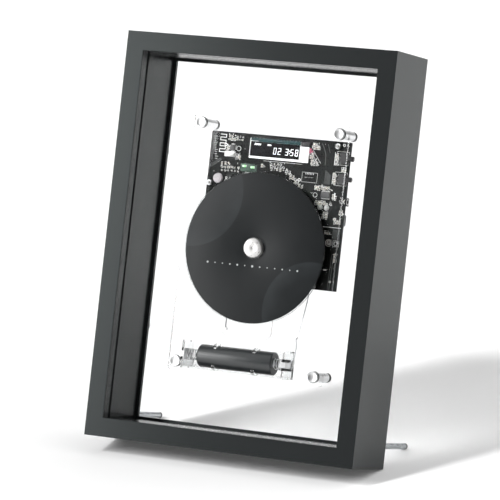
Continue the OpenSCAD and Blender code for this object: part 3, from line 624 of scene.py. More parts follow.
class Palette:
    """Every finish of the player."""

    frame = GrainedFinish("frame_black", (0.0145, 0.0158, 0.0165), 0.26, grain_mm=0.3,
                          grain_depth_mm=0.0004, tone=0.02, tone_mm=60, specular=0.31, wear=0.015,
                          sheen_tint=(0.9, 1.0, 0.985))
    pane = ClearFinish("pane_acrylic", (0.998, 0.999, 0.999), 0.004, ior=1.25, shade=0.15)
    plate = ClearFinish("plate_acrylic", (0.995, 0.998, 0.998), 0.006, ior=1.25)
    cradle = ClearFinish("cradle_plastic", (0.96, 0.97, 0.97), 0.03, ior=1.35)
    bright = GrainedFinish("polished_steel", (0.86, 0.865, 0.87), 0.3, metallic=1.0,
                           grain_mm=0.8, grain_depth_mm=0.001, tone=0.04)
    peg = BrushedFinish("peg_steel", (0.5, 0.52, 0.54), 0.26, along=Axis.Y)
    satin = GrainedFinish("satin_steel", (0.62, 0.625, 0.63), 0.3, metallic=1.0,
                          grain_mm=0.3, grain_depth_mm=0.002, tone=0.08, tone_mm=6)
    sheet = BrushedFinish("rolled_steel", (0.66, 0.665, 0.67), 0.32, along=Axis.Z)
    can = BrushedFinish("tinned_can", (0.5, 0.5, 0.495), 0.3, along=Axis.X, line_mm=0.15)
    puck = TurnedFinish("puck_alloy", (0.62, 0.615, 0.605), 0.3, centre=(0, 26.6, 0),
                        pitch_mm=0.5, depth_mm=0.03)
    rubber = GrainedFinish("rubber", (0.022, 0.022, 0.023), 0.75, grain_mm=0.25,
                           grain_depth_mm=0.02, specular=0.3)
    moulded = GrainedFinish("moulded_black", (0.017, 0.017, 0.0185), 0.5, specular=0.3,
                            grain_mm=0.22, grain_depth_mm=0.015, tone=0.1, tone_mm=9)
    button = GrainedFinish("button_black", (0.028, 0.028, 0.03), 0.42, grain_mm=0.2,
                           grain_depth_mm=0.006, tone=0.08)
    mask = SolderMaskFinish("solder_mask", (0.0055, 0.0062, 0.0062), 0.3)
    silk = GrainedFinish("board_print", (0.5, 0.51, 0.5), 0.6, grain_mm=0.2,
                         grain_depth_mm=0.004, tone=0.12, tone_mm=2)
    trace = GrainedFinish("masked_copper", (0.045, 0.05, 0.05), 0.3, grain_mm=0.5,
                          grain_depth_mm=0.002, tone=0.15, coat=0.4)
    solder = GrainedFinish("solder", (0.66, 0.66, 0.65), 0.35, metallic=1.0, grain_mm=0.5,
                           grain_depth_mm=0.06, tone=0.08, tone_mm=1.5)
    gold = GrainedFinish("contact_gold", (0.83, 0.6, 0.24), 0.25, metallic=1.0, grain_mm=0.3,
                         grain_depth_mm=0.002, tone=0.08, tone_mm=2)
    epoxy = GrainedFinish("chip_epoxy", (0.022, 0.022, 0.024), 0.45, grain_mm=0.12,
                          grain_depth_mm=0.008, tone=0.15, tone_mm=3)
    ceramic = GrainedFinish("part_ceramic", (0.26, 0.24, 0.205), 0.45, grain_mm=0.2,
                            grain_depth_mm=0.004, tone=0.3, tone_mm=2.5)
    resistor = GrainedFinish("part_black", (0.02, 0.02, 0.022), 0.35, grain_mm=0.2,
                             grain_depth_mm=0.003, tone=0.2, tone_mm=2)
    ferrite = GrainedFinish("ferrite", (0.21, 0.195, 0.205), 0.42, grain_mm=0.15,
                            grain_depth_mm=0.012, tone=0.16, tone_mm=2)
    copper = BrushedFinish("winding_copper", (0.55, 0.25, 0.12), 0.3, along=Axis.X)
    nylon = GrainedFinish("plug_nylon", (0.72, 0.72, 0.69), 0.5, grain_mm=0.2,
                          grain_depth_mm=0.006, tone=0.06, tone_mm=4)
    rose = GrainedFinish("rose_part", (0.3, 0.05, 0.1), 0.4, grain_mm=0.2, tone=0.2, tone_mm=1)
    glass_black = GrainedFinish("display_glass", (0.006, 0.006, 0.007), 0.08, grain_mm=4,
                                grain_depth_mm=0.0002, tone=0.1)
    digits = GlowFinish("display_digits", (0.85, 0.87, 0.88), 0.4, glow=0.2)
    guide = GlowFinish("light_guide", (0.73, 0.73, 0.73), 0.4, glow=0.03)
    ledge = GrainedFinish("display_ledge", (0.004, 0.026, 0.028), 0.26, specular=0.25, grain_mm=0.4,
                          grain_depth_mm=0.004, tone=0.4, tone_mm=2.2, coat=0.1)
    lamp = GlowFinish("lamp_green", (0.3, 0.85, 0.3), 0.3, glow=0.4)
    # painted light: the lamps' green glow, painted on the board around them
    painted_lamp_glow = GlowFinish("painted_lamp_glow", (0.003, 0.026, 0.013), 0.5, glow=0.1)
    dots = GrainedFinish("disc_dots", (0.42, 0.44, 0.44), 0.5, grain_mm=0.2, tone=0.1, tone_mm=2)
    ink = DiscPrintFinish("disc_print", (0.0105, 0.012, 0.0128), 0.32)
    data = DiscDataFinish("disc_mirror", (0.74, 0.76, 0.79), 0.14)
    rim = ClearFinish("disc_rim", (0.93, 0.95, 0.95), 0.02, ior=1.58)
    wrap = BrushedFinish("cell_wrap", (0.02, 0.023, 0.0245), 0.34, along=Axis.X, line_mm=0.9,
                         depth_mm=0.002, metallic=0.0, specular=0.8)
    insulator = GrainedFinish("cell_ring", (0.75, 0.75, 0.73), 0.7, tone=0.08)
    sheath = GrainedFinish("lead_sheath", (0.62, 0.63, 0.65), 0.4, grain_mm=1, tone=0.05)
    resin = GrainedFinish("gear_resin", (0.72, 0.7, 0.64), 0.4, grain_mm=0.3,
                          grain_depth_mm=0.004, tone=0.05)
    lens = ClearFinish("lens_glass", (0.75, 0.83, 0.98), 0.005, ior=1.52)
    flex = GrainedFinish("flex_film", (0.5, 0.23, 0.05), 0.3, grain_mm=1, tone=0.1,
                         grain_depth_mm=0.003, coat=0.5)


# ------------------------------------------------------------------------ bench


class Bench:
    """Models pieces with Blender's own tools and hands them over finished."""

    def __init__(self, placement: Placement) -> None:
        """Keeps the placement that every piece is given at the end.

        Args:
            placement: where the upright drawing stands.
        """
        self.placement = placement
        self.count = 0

    @staticmethod
    def clear() -> None:
        """Leaves edit mode and deselects everything."""
        if bpy.context.object and bpy.context.object.mode != "OBJECT":
            bpy.ops.object.mode_set(mode="OBJECT")
        bpy.ops.object.select_all(action="DESELECT")

    @staticmethod
    def pick(*pieces: Piece) -> None:
        """Selects pieces alone, the first one active.

        Args:
            *pieces: the pieces to select.
        """
        Bench.clear()
        for piece in pieces:
            piece.select_set(True)
        bpy.context.view_layer.objects.active = pieces[0]

    def block(self, low: Point, high: Point, bevel: float = 0.0, segments: int = 2) -> Piece:
        """A box between two corners, with its edges rounded.

        Args:
            low: the lowest corner.
            high: the highest corner.
            bevel: radius of the rounded edges.
            segments: steps around an edge.

        Returns:
            The box.
        """
        self.clear()
        a, b = Vector(low), Vector(high)
        bpy.ops.mesh.primitive_cube_add(size=1, location=(a + b) / 2)
        piece = bpy.context.object
        piece.scale = b - a
        bpy.ops.object.transform_apply(location=True, rotation=False, scale=True)
        if bevel:
            bpy.ops.object.mode_set(mode="EDIT")
            bpy.ops.mesh.select_all(action="SELECT")
            bpy.ops.mesh.bevel(offset=bevel, segments=segments, affect="EDGES", clamp_overlap=True)
            bpy.ops.object.mode_set(mode="OBJECT")
        return piece

    def turned(self, profile: Sequence[Spot], at: Point = (0, 0, 0), along: Axis = Axis.Y,
               sides: int = 48, ring: bool = False) -> Piece:
        """A turned piece: circles extruded and resized along an axis.

        Args:
            profile: place along the axis and radius of each circle.
            at: upright place of the axis' start.
            along: direction of the axis.
            sides: number of corners of a circle.
            ring: True closes the profile on itself, as for a ring or tube.

        Returns:
            The turned piece.
        """
        self.clear()
        start, radius = profile[0]
        bpy.ops.mesh.primitive_circle_add(vertices=sides, radius=radius, location=(0, 0, start),
                                          fill_type="NOTHING" if ring else "NGON")
        piece = bpy.context.object
        bpy.ops.object.transform_apply(location=True, rotation=False, scale=False)
        bpy.ops.object.mode_set(mode="EDIT")
        bpy.ops.mesh.select_all(action="SELECT")
        for place, size in [*profile[1:], *([profile[0]] if ring else [])]:
            move = {"value": (0, 0, place - start)}
            if ring:
                bpy.ops.mesh.extrude_edges_move(TRANSFORM_OT_translate=move)
            else:
                bpy.ops.mesh.extrude_region_move(TRANSFORM_OT_translate=move)
            bpy.ops.transform.resize(value=(size / radius, size / radius, 1))
            start, radius = place, size
        bpy.ops.mesh.select_all(action="SELECT")
        bpy.ops.mesh.remove_doubles(threshold=0.0001)
        bpy.ops.mesh.normals_make_consistent(inside=False)
        bpy.ops.object.mode_set(mode="OBJECT")
        turn = {Axis.X: Matrix.Rotation(math.pi / 2, 4, "Y"),
                Axis.Y: Matrix.Rotation(-math.pi / 2, 4, "X"), Axis.Z: Matrix()}[along]
        piece.data.transform(Matrix.Translation(at) @ turn)
        return piece

    def coil(self, start: float, end: float, radius: float, wire: float, turns: float = 4) -> Piece:
        """A coil spring along X, made by a screw of its wire.

        Args:
            start: place where the coil starts.
            end: place where it ends.
            radius: radius of the coil.
            wire: radius of the wire.
            turns: number of turns.

        Returns:
            The spring, about the X axis.
        """
        self.clear()
        bpy.ops.mesh.primitive_circle_add(vertices=10, radius=wire, fill_type="NOTHING",
                                          location=(start, 0, radius),
                                          rotation=(math.pi / 2, 0, 0))
        piece = bpy.context.object
        bpy.ops.object.transform_apply(location=True, rotation=True, scale=True)
        screw = piece.modifiers.new("turns", "SCREW")
        screw.axis, screw.angle = "X", turns * 2 * math.pi
        screw.screw_offset, screw.iterations = end - start, 1
        screw.steps = screw.render_steps = int(turns * 28)
        screw.use_merge_vertices = False
        bpy.ops.object.modifier_apply(modifier="turns")
        self.close_ends(piece)
        return piece

    def close_ends(self, piece: Piece) -> None:
        """Fills the open ends of a tube and turns its faces outwards.

        Args:
            piece: the tube.
        """
        self.pick(piece)
        bpy.ops.object.mode_set(mode="EDIT")
        bpy.ops.mesh.select_all(action="DESELECT")
        bpy.ops.mesh.select_mode(type="EDGE")
        bpy.ops.mesh.select_non_manifold(extend=False)
        bpy.ops.mesh.edge_face_add()
        bpy.ops.mesh.select_all(action="SELECT")
        bpy.ops.mesh.normals_make_consistent(inside=False)
        bpy.ops.mesh.select_mode(type="VERT")
        bpy.ops.object.mode_set(mode="OBJECT")

    def wire(self, points: Sequence[Point], radius: float, steps: int = 5) -> Piece:
        """A round wire through given points, on one smooth curve.

        Args:
            points: the points that it passes.
            radius: radius of the wire.
            steps: steps between two points.

        Returns:
            The wire as a mesh.
        """
        self.clear()
        curve = bpy.data.curves.new("wire", "CURVE")
        curve.dimensions, curve.resolution_u = "3D", steps
        curve.bevel_depth, curve.bevel_resolution = radius, 3
        curve.use_fill_caps = True
        spline = curve.splines.new("BEZIER")
        spline.bezier_points.add(len(points) - 1)
        for knot, point in zip(spline.bezier_points, points):
            knot.co = point
            knot.handle_left_type = knot.handle_right_type = "AUTO"
        piece = bpy.data.objects.new("wire", curve)
        bpy.context.collection.objects.link(piece)
        self.pick(piece)
        bpy.ops.object.convert(target="MESH")
        return bpy.context.object

    def joined(self, pieces: Sequence[Piece]) -> Piece:
        """Joins pieces into one mesh object.

        Args:
            pieces: the pieces, the first of which takes the others in.

        Returns:
            The joined piece.
        """
        if len(pieces) > 1:
            self.pick(*pieces)
            bpy.ops.object.join()
        return pieces[0]

    def copies(self, template: Piece, places: Iterable[Matrix]) -> Piece:
        """Copies a template to each place, each copy with its own mesh, and joins them.

        Args:
            template: the piece to copy, which is used up.
            places: where each copy stands.

        Returns:
            The joined copies.
        """
        made = []
        for place in places:
            copy = template.copy()
            copy.data = template.data.copy()
            copy.data.transform(place)
            bpy.context.collection.objects.link(copy)
            made.append(copy)
        bpy.data.objects.remove(template)
        return self.joined(made)

    def cut(self, piece: Piece, tool: Piece, how: str = "DIFFERENCE") -> Piece:
        """Cuts a tool's shape out of a piece, or adds it, and uses the tool up.

        Args:
            piece: the piece to change.
            tool: the shape to cut out or to add.
            how: the boolean operation.

        Returns:
            The changed piece.
        """
        self.pick(piece)
        change = piece.modifiers.new("cut", "BOOLEAN")
        change.operation, change.object, change.solver = how, tool, "EXACT"
        bpy.ops.object.modifier_apply(modifier="cut")
        bpy.data.objects.remove(tool)
        return piece

    def strips(self, lines: Sequence[Line], front: float, back: float) -> Piece:
        """Thin flat strips between pairs of points, as prints, traces or ribs.

        Args:
            lines: start, end and width of each strip.
            front: depth of the strips' front faces.
            back: depth of their rear faces.

        Returns:
            The joined strips.
        """
        template = self.block((-0.5, 0, -0.5), (0.5, 1, 0.5), 0.08, 1)
        places = []
        for x0, z0, x1, z1, width in lines:
            turn = -math.degrees(math.atan2(z1 - z0, x1 - x0))
            length = math.hypot(x1 - x0, z1 - z0) + width
            places.append(at((x0 + x1) / 2, front, (z0 + z1) / 2, turn,
                             (length, back - front, width)))
        return self.copies(template, places)

    def cross(self, seat: float, reach: float, width: float, depth: float) -> Piece:
        """A cross, as a tool to cut the recess of a screw head from behind.

        Args:
            seat: depth of the head's outer face.
            reach: half length of a bar.
            width: width of a bar.
            depth: how deep the recess is.

        Returns:
            The cutting tool.
        """
        bars = self.block((-reach, seat - depth, -width / 2), (reach, seat + 1, width / 2))
        other = self.block((-width / 2, seat - depth, -reach), (width / 2, seat + 1, reach))
        return self.cut(bars, other, "UNION")

    def pan_screw(self, head_r: float, head_t: float, shank_r: float, length: float) -> Piece:
        """A pan-head screw with a cross recess, its seat at depth 0 and its head behind.

        Args:
            head_r: radius of the head.
            head_t: thickness of the head.
            shank_r: radius of the shank.
            length: length of the shank.

        Returns:
            The screw.
        """
        r, t = head_r, head_t
        screw = self.turned([
            (-length, 0.75 * shank_r), (0.3 - length, shank_r), (0, shank_r), (0, 0.97 * r),
            (0.15 * t, r), (0.6 * t, 0.93 * r), (0.88 * t, 0.72 * r), (t, 0.38 * r)], sides=32)
        return self.cut(screw, self.cross(t, 0.58 * r, 0.24 * r, 0.55 * t))

    def add(self, piece: Piece, name: str, finish: Finish, slot: str,
            *replaces: str, body: Body = Body.FRAME) -> None:
        """Names, dresses, places and attaches a finished piece.

        Args:
            piece: the piece, upright and in millimetres.
            name: its name.
            finish: its finish.
            slot: the record's material slot; not used.
            *replaces: CAD nodes that it stands for.
            body: the body that it rides on.
        """
        self.pick(piece)
        piece.data.transform(self.placement.matrix @ piece.matrix_world)
        piece.matrix_world = Matrix()
        bpy.ops.object.shade_smooth_by_angle(angle=math.radians(SMOOTH_DEG))
        piece.name = piece.data.name = name
        piece.data.materials.clear()
        piece.data.materials.append(finish.make())
        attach(piece, body.value)
        if replaces:
            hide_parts(*replaces)
        self.count += 1
        LOG.info("%s: %d faces", name, len(piece.data.polygons))


def at(x: float, y: float, z: float, turn: float = 0.0, scale: Point = (1, 1, 1)) -> Matrix:
    """An upright place, turned about the depth axis and stretched.

    Args:
        x: place across.
        y: depth.
        z: height.
        turn: degrees of the turn.
        scale: stretch along each axis, before the turn.

    Returns:
        The place.
    """
    return (Matrix.Translation((x, y, z)) @ Matrix.Rotation(math.radians(turn), 4, "Y")
            @ Matrix.Diagonal((*scale, 1)))


# ---------------------------------------------------------------- sub-assemblies


@dataclass
class Assembly:
    """A sub-assembly: it dresses its CAD nodes and adds pieces of its own.

    Attributes:
        bench: the bench that its pieces are modelled on.
        nodes: the CAD nodes by name.
    """

    bench: Bench
    nodes: dict[str, Piece]

    def dress(self, finish: Finish, *names: str) -> None:
        """Gives CAD nodes a finish.

        Args:
            finish: the finish.
            *names: the nodes' names.
        """
        material = finish.make()
        for name in names:
            node = self.nodes[name]
            if not node.material_slots:
                node.data.materials.append(material)
            for slot in node.material_slots:
                slot.material = material
            LOG.info("%s: dressed in %s", name, finish.name)

    def build(self) -> None:
        """Dresses the nodes and builds the pieces."""
        raise NotImplementedError


@dataclass
class PictureFrame(Assembly):
    """The four hollow rails and the keys that hold their mitres."""

    def build(self) -> None:
        """Dresses the rails and the keys."""
        self.dress(Palette.frame, "top_rail", "bottom_rail", "left_stile", "right_stile")
        self.dress(Palette.satin, "corner_keys")


@dataclass
class ClearSheets(Assembly):
    """The rear pane and the mounting plate."""

    def build(self) -> None:
        """Dresses both sheets."""
        self.dress(Palette.pane, "rear_pane")
        self.dress(Palette.plate, "mounting_plate")


@dataclass
class Standoffs(Assembly):
    """The turned standoffs that carry the plate ahead of the pane.

    Attributes:
        reach: distance of a standoff from the middle, across and up.
        cap_r: radius of a cap.
        cap_t: thickness of a cap with its washer.
        barrel_r: radius of a barrel.
        stud_r: radius of the threaded studs.
        washer_t: thickness of the rubber washers at the plate and at the pane.
        washer_in: how far a washer's bore lies inside its rim.
    """

    reach: Spot = (59.5, 94.7)
    cap_r: float = 4.75
    cap_t: float = 3.1
    barrel_r: float = 4.0
    stud_r: float = 2.0
    washer_t: Spot = (1.8, 1.3)
    washer_in: float = 1.3

    def build(self) -> None:
        """Turns the caps, barrels, washers and countersunk screws."""
        bench, cap, barrel, stud = self.bench, self.cap_r, self.barrel_r, self.stud_r
        across, up = self.reach
        places = [at(sx * across, 0, sz * up) for sx in BOTH for sz in BOTH]
        front, back, seat, rear = Depth.PLATE, Depth.PLATE_BACK, Depth.PANE, Depth.FRAME_BACK
        face, inset = front - self.cap_t, self.washer_in
        washer, foot = front - self.washer_t[0], seat - self.washer_t[1]
        caps = bench.turned([
            (face + 0.12, 0.6), (face + 0.1, cap - 1.5), (face, cap - 1.25), (face, cap - 0.55),
            (face + 0.08, cap - 0.25), (face + 0.3, cap - 0.06), (face + 0.6, cap),
            (washer - 0.15, cap), (washer - 0.02, cap - 0.15), (washer - 0.02, cap - inset),
            (front, cap - inset), (front, stud), (back + 5.7, stud), (back + 6, stud - 0.3)])
        bench.add(bench.copies(caps, places), "standoff_cap_set", Palette.bright,
                  "satin_steel", "standoff_caps")
        barrels = bench.turned([
            (back, stud + 0.1), (back, barrel - 0.25), (back + 0.25, barrel),
            (foot - 0.25, barrel), (foot, barrel - 0.25), (foot, barrel - inset),
            (seat, barrel - inset), (seat, stud + 0.1)], ring=True)
        bench.add(bench.copies(barrels, places), "standoff_barrel_set", Palette.bright,
                  "satin_steel", "standoff_barrels")
        washers = bench.joined([
            bench.turned([(start, inner), (start, outer - 0.2), (start + 0.2, outer),
                          (end - 0.2, outer), (end, outer - 0.2), (end, inner)], ring=True)
            for start, end, inner, outer in (
                (washer, front, cap - inset + 0.02, cap - 0.02),
                (foot, seat, barrel - inset + 0.02, barrel - 0.02))])
        bench.add(bench.copies(washers, places), "standoff_washer_set", Palette.rubber, "rubber")
        screws = bench.turned([
            (seat - 7, stud - 0.3), (seat - 6.7, stud), (rear - 2, stud), (rear - 0.1, 3.92),
            (rear, 3.85), (rear, 1.2)])
        screws = bench.cut(screws, bench.cross(rear, 2.3, 0.65, 1.1))
        bench.add(bench.copies(screws, places), "standoff_screw_set", Palette.satin,
                  "satin_steel", "standoff_screws")


class Part(Enum):
    """Kinds of small parts on the board."""

    CERAMIC = "ceramic"
    RESISTOR = "resistor"


@dataclass(frozen=True)
class Cluster:
    """A group of small parts on the board.

    Attributes:
        x: middle, across.
        z: middle, up.
        wide: width of the group.
        high: height of the group.
        count: number of parts.
        rear: True for a group on the rear of the board.
    """

    x: float
    z: float
    wide: float
    high: float
    count: int
    rear: bool = False

    def ticks(self, rng: random.Random) -> Iterator[Line]:
        """Short printed ticks, scattered over the group.

        Args:
            rng: source of their places and sizes.

        Yields:
            Each tick.
        """
        for _ in range(round(0.9 * self.count)):
            x = self.x + rng.uniform(-0.52, 0.52) * self.wide
            z = self.z + rng.uniform(-0.52, 0.52) * self.high
            reach = rng.uniform(0.3, 1.2)
            across = rng.random() < 0.5
            yield (x, z, x + reach * across, z + reach * (not across), rng.uniform(0.24, 0.42))

    def spots(self, rng: random.Random) -> Iterator[Spot]:
        """Places of the parts, in loose rows.

        Args:
            rng: source of how far each part is off its row.

        Yields:
            Each part's place, across and up.
        """
        columns = max(1, round(math.sqrt(self.count * self.wide / self.high)))
        rows = math.ceil(self.count / columns)
        for k in range(self.count):
            x = self.x + self.wide * ((k % columns + 0.5) / columns - 0.5)
            z = self.z + self.high * ((k // columns + 0.5) / rows - 0.5)
            yield x + rng.uniform(-0.25, 0.25), z + rng.uniform(-0.2, 0.2)


def outline(x: float, z: float, half_wide: float, half_high: float, width: float) -> list[Line]:
    """Four strips around a rectangle.

    Args:
        x: its middle, across.
        z: its middle, up.
        half_wide: half its width.
        half_high: half its height.
        width: width of a strip.

    Returns:
        The strips.
    """
    left, right, low, high = x - half_wide, x + half_wide, z - half_high, z + half_high
    return [(left, low, right, low, width), (left, high, right, high, width),
            (left, low, left, high, width), (right, low, right, high, width)]


@dataclass
class CircuitBoard(Assembly):
    """The bare board with its parts, prints, pads and traces.

    Attributes:
        holes: places of its screw holes.
        chips: place, width and height of each chip.
        chip_t: thickness of a chip.
        leg_pitch: distance between a chip's legs.
        inductor_at: place of the round inductor.
        lamp_at: places of the two lamps.
        plug: low and high corner of the white plug housing.
        pin_pitch: distance between its pins.
        can_at: places of the two round cans.
        seed: seed of the parts' sizes and places.
        clusters: the groups of small parts.
    """

    holes: tuple[Spot, ...] = ((57.5, 85.4), (58.5, 10.6), (-49.4, 48.1), (-48, -20))
    chips: tuple[tuple[float, float, float, float], ...] = (
        (50.8, 46.9, 8, 5), (-32.7, 77.3, 4.4, 4.4), (0, 44, 12, 12), (26, 42, 9, 7))
    chip_t: float = 0.9
    leg_pitch: float = 0.65
    inductor_at: Spot = (-42.5, 52.2)
    lamp_at: tuple[Spot, ...] = ((-20.9, 63.4), (-13.9, 63))
    plug: tuple[Spot, Spot] = ((30.4, 56.9), (40.6, 61.7))
    pin_pitch: float = 1.25
    can_at: tuple[Spot, ...] = ((46.9, 37.2), (52.6, 37.0))
    seed: int = 11
    clusters: tuple[Cluster, ...] = (
        Cluster(-30.5, 84.9, 13.5, 4.2, 12), Cluster(-36.4, 77, 2.6, 5.5, 5),
        Cluster(-33.2, 61.6, 17, 8.2, 15), Cluster(-27.2, 70.4, 5, 4, 5),
        Cluster(-5.2, 65.4, 3.2, 2.6, 3), Cluster(7.3, 65, 13.2, 6.4, 14),
        Cluster(16.6, 62, 4.6, 4.4, 5), Cluster(20.6, 58.8, 4.6, 4.4, 5),
        Cluster(24.6, 55.4, 4.6, 4.4, 5), Cluster(28.8, 52, 4.6, 4, 5),
        Cluster(38.6, 84, 6, 4.8, 10), Cluster(35.6, 76.5, 3, 5, 4),
        Cluster(38.4, 71.2, 6.4, 4.6, 8), Cluster(43.4, 51.6, 5.4, 3.6, 6),
        Cluster(51, 52.2, 9.5, 3, 9), Cluster(51.2, 40.6, 11, 3.2, 9),
        Cluster(58.2, 45.6, 4, 5, 5), Cluster(44.2, 40.4, 4.4, 3.4, 4),
        Cluster(57, 75.2, 3.2, 9.6, 10), Cluster(56.4, 60.4, 3.2, 9, 10),
        Cluster(63.6, 67.8, 3.4, 4.2, 4), Cluster(64.6, 43.6, 3.6, 5.4, 5),
        Cluster(65.2, 34.2, 3, 4.4, 4), Cluster(55.4, 17.8, 5.2, 2.8, 5),
        Cluster(61.8, 27.4, 5, 4.4, 5), Cluster(64, -1.2, 2.4, 6.4, 5),
        Cluster(52, 31, 6, 6, 6), Cluster(-46.4, 38, 5, 9, 8), Cluster(-10, 57, 22, 4, 12),
        Cluster(-27, 52, 20, 4, 10),
        Cluster(-26, 70, 34, 22, 34, rear=True), Cluster(26, 74, 36, 16, 30, rear=True),
        Cluster(28, 40, 30, 14, 20, rear=True), Cluster(-36, 42, 22, 12, 14, rear=True),
        Cluster(56, 6, 12, 16, 12, rear=True), Cluster(-45, 2, 8, 30, 12, rear=True))

    def build(self) -> None:
        """Builds everything on the board."""
        self.dress(Palette.mask, "circuit_board")
        self.dress(Palette.satin, "board_spacers")
        marks = self.small_parts()
        self.chip_set()
        self.inductor()
        self.lamps()
        self.plugs()
        self.prints(marks)
        self.pads()
        self.traces()

    def small_parts(self) -> list[Line]:
        """Places the clusters' parts and their solder ends.

        Returns:
            The printed marks beside them.
        """
        rng = random.Random(self.seed)
        places: dict[Part, list[Matrix]] = {kind: [] for kind in Part}
        ends: list[Matrix] = []
        marks: list[Line] = []
        for group in self.clusters:
            if not group.rear:
                marks.extend(group.ticks(rng))
            for x, z in group.spots(rng):
                length = rng.choice((1.0, 1.3, 1.6, 2.0))
                kind = rng.choice((Part.CERAMIC, Part.CERAMIC, Part.RESISTOR))
                width = length * 0.56
                height = 0.3 if kind is Part.RESISTOR else width * 0.85
                turn = rng.choice((0, 90, 0, 90, 45))
                y = Depth.BOARD_BACK + height if group.rear else Depth.BOARD
                place = at(x, y, z, turn, (length, height, width))
                places[kind].append(place)
                ends.append(place)
                if not group.rear and rng.random() < 0.8:
                    marks += self.side_marks(x, z, turn, length, width)
        bench = self.bench
        for kind, finish in ((Part.CERAMIC, Palette.ceramic), (Part.RESISTOR, Palette.resistor)):
            body = bench.block((-0.4, -1, -0.48), (0.4, 0, 0.48), 0.05, 1)
            bench.add(bench.copies(body, places[kind]), f"board_{kind.value}_parts", finish,
                      "chip_epoxy")
        pair = bench.joined([bench.block((-0.56, -0.96, -0.52), (-0.34, 0, 0.52), 0.07, 1),
                             bench.block((0.34, -0.96, -0.52), (0.56, 0, 0.52), 0.07, 1)])
        bench.add(bench.copies(pair, ends), "board_part_ends", Palette.solder, "satin_steel")
        return marks

    @staticmethod
    def side_marks(x: float, z: float, turn: float, length: float, width: float) -> list[Line]:
        """Printed lines along a part's two long sides.

        Args:
            x: place of the part, across.
            z: place of the part, up.
            turn: how far the part is turned, in degrees.
            length: length of the part.
            width: width of the part.

        Returns:
            The two lines.
        """
        c, s = math.cos(math.radians(turn)), math.sin(math.radians(turn))
        side, half = 0.8 * width, 0.6
        lines = []
        for way in BOTH:
            mx, mz = x + way * side * s, z + way * side * c
            lines.append((mx - c * length * half, mz + s * length * half,
                          mx + c * length * half, mz - s * length * half, 0.19))
        return lines

    def chip_set(self) -> None:
        """Builds the chips' bodies, their legs and the shield cans."""
        bench, y, pitch = self.bench, Depth.BOARD, self.leg_pitch
        front = y - self.chip_t
        made, legs = [], []
        for x, z, wide, high in self.chips:
            made.append(bench.block((x - wide / 2, front, z - high / 2),
                                    (x + wide / 2, y - 0.12, z + high / 2), 0.12))
            made.append(bench.turned([(front - 0.02, 0.2), (front - 0.02, 0.35), (front + 0.1, 0.4)],
                                     (x - wide / 2 + 0.9, 0, z + high / 2 - 0.9), sides=16))
            square = min(wide, high) >= 0.8 * max(wide, high)
            for turn in (0, 90) if square else (0,):
                half, span = (wide / 2, high) if turn else (high / 2, wide)
                count = int((span - 0.8) / pitch)
                for k in range(count):
                    off = (k + 0.5 - count / 2) * pitch
                    for way, back in ((1, 0), (-1, 180)):
                        right, up = (way * half, off) if turn else (off, way * half)
                        legs.append(at(x + right, y, z + up, turn + back))
        bench.add(bench.joined(made), "chip_bodies", Palette.epoxy, "chip_epoxy",
                  "controller_chips")
        leg = bench.joined([bench.block((-0.13, -0.45, -0.1), (0.13, -0.3, 0.35), 0.03, 1),
                            bench.block((-0.13, -0.45, 0.25), (0.13, 0, 0.4), 0.03, 1),
                            bench.block((-0.13, -0.12, 0.3), (0.13, 0, 0.85), 0.03, 1)])
        bench.add(bench.copies(leg, legs), "chip_legs", Palette.solder, "satin_steel")
        rear = Depth.BOARD_BACK
        cans = bench.joined([bench.block((-39.1, y - 0.95, 70.0), (-30.1, y - 0.05, 74.0), 0.35, 3),
                             bench.block((-39.3, y - 0.15, 69.8), (-29.9, y, 74.2), 0.05, 1),
                             bench.block((16.5, rear, 62), (34.5, rear + 1.8, 76), 0.5, 3),
                             bench.block((-22, rear, 54), (-8, rear + 1.3, 66), 0.4, 3)])
        bench.add(cans, "board_shield_cans", Palette.can, "satin_steel")

    def inductor(self) -> None:
        """Builds the round inductor: a drum core with its winding."""
        bench, y = self.bench, Depth.BOARD
        x, z = self.inductor_at
        drum = bench.turned([
            (y - 2.1, 1.2), (y - 2.1, 3.4), (y - 1.95, 3.72), (y - 1.7, 3.8), (y - 1.55, 3.7),
            (y - 1.5, 3.2), (y - 0.65, 3.2), (y - 0.6, 3.9), (y - 0.45, 4.05), (y - 0.15, 4.05),
            (y, 3.9)], (x, 0, z), sides=40)
        bench.add(drum, "inductor_core", Palette.ferrite, "ferrite", "power_inductor")
        turn = bench.turned([(0.0, 3.2), (0.06, 3.42), (0.16, 3.42), (0.22, 3.2)], sides=40)
        winding = bench.copies(turn, [at(x, y - 1.5 + 0.21 * k, z) for k in range(4)])
        bench.add(winding, "inductor_winding", Palette.copper, "key_alloy")

    def lamps(self) -> None:
        """Builds the two lit lamps, and their glow painted on the board around them."""
        bench, y = self.bench, Depth.BOARD
        windows = [bench.block((x - 1.15, y - 1.12, z - 0.75), (x + 1.15, y - 0.2, z + 0.75), 0.3, 3)
                   for x, z in self.lamp_at]
        ends = [bench.block((x + way * 1.35 - 0.3, y - 0.5, z - 0.8),
                            (x + way * 1.35 + 0.3, y, z + 0.8), 0.06, 1)
                for x, z in self.lamp_at for way in BOTH]
        bench.add(bench.joined(windows), "lamp_windows", Palette.lamp, "lamp_green", "status_lamps")
        bench.add(bench.joined(ends), "lamp_ends", Palette.solder, "satin_steel")
        # painted light: a pool of the lamps' green glow, painted as flat glowing patches on the
        # board
        painted_pool = bench.joined([bench.block((-24.4, y - 0.05, 59.8), (-10.4, y, 64.9), 0.6, 2),
                             bench.block((-23.4, y - 0.04, 59.2), (-12.2, y, 65.6), 0.6, 2)])
        bench.add(painted_pool, "painted_glow_around_lamps", Palette.painted_lamp_glow, "lamp_green")

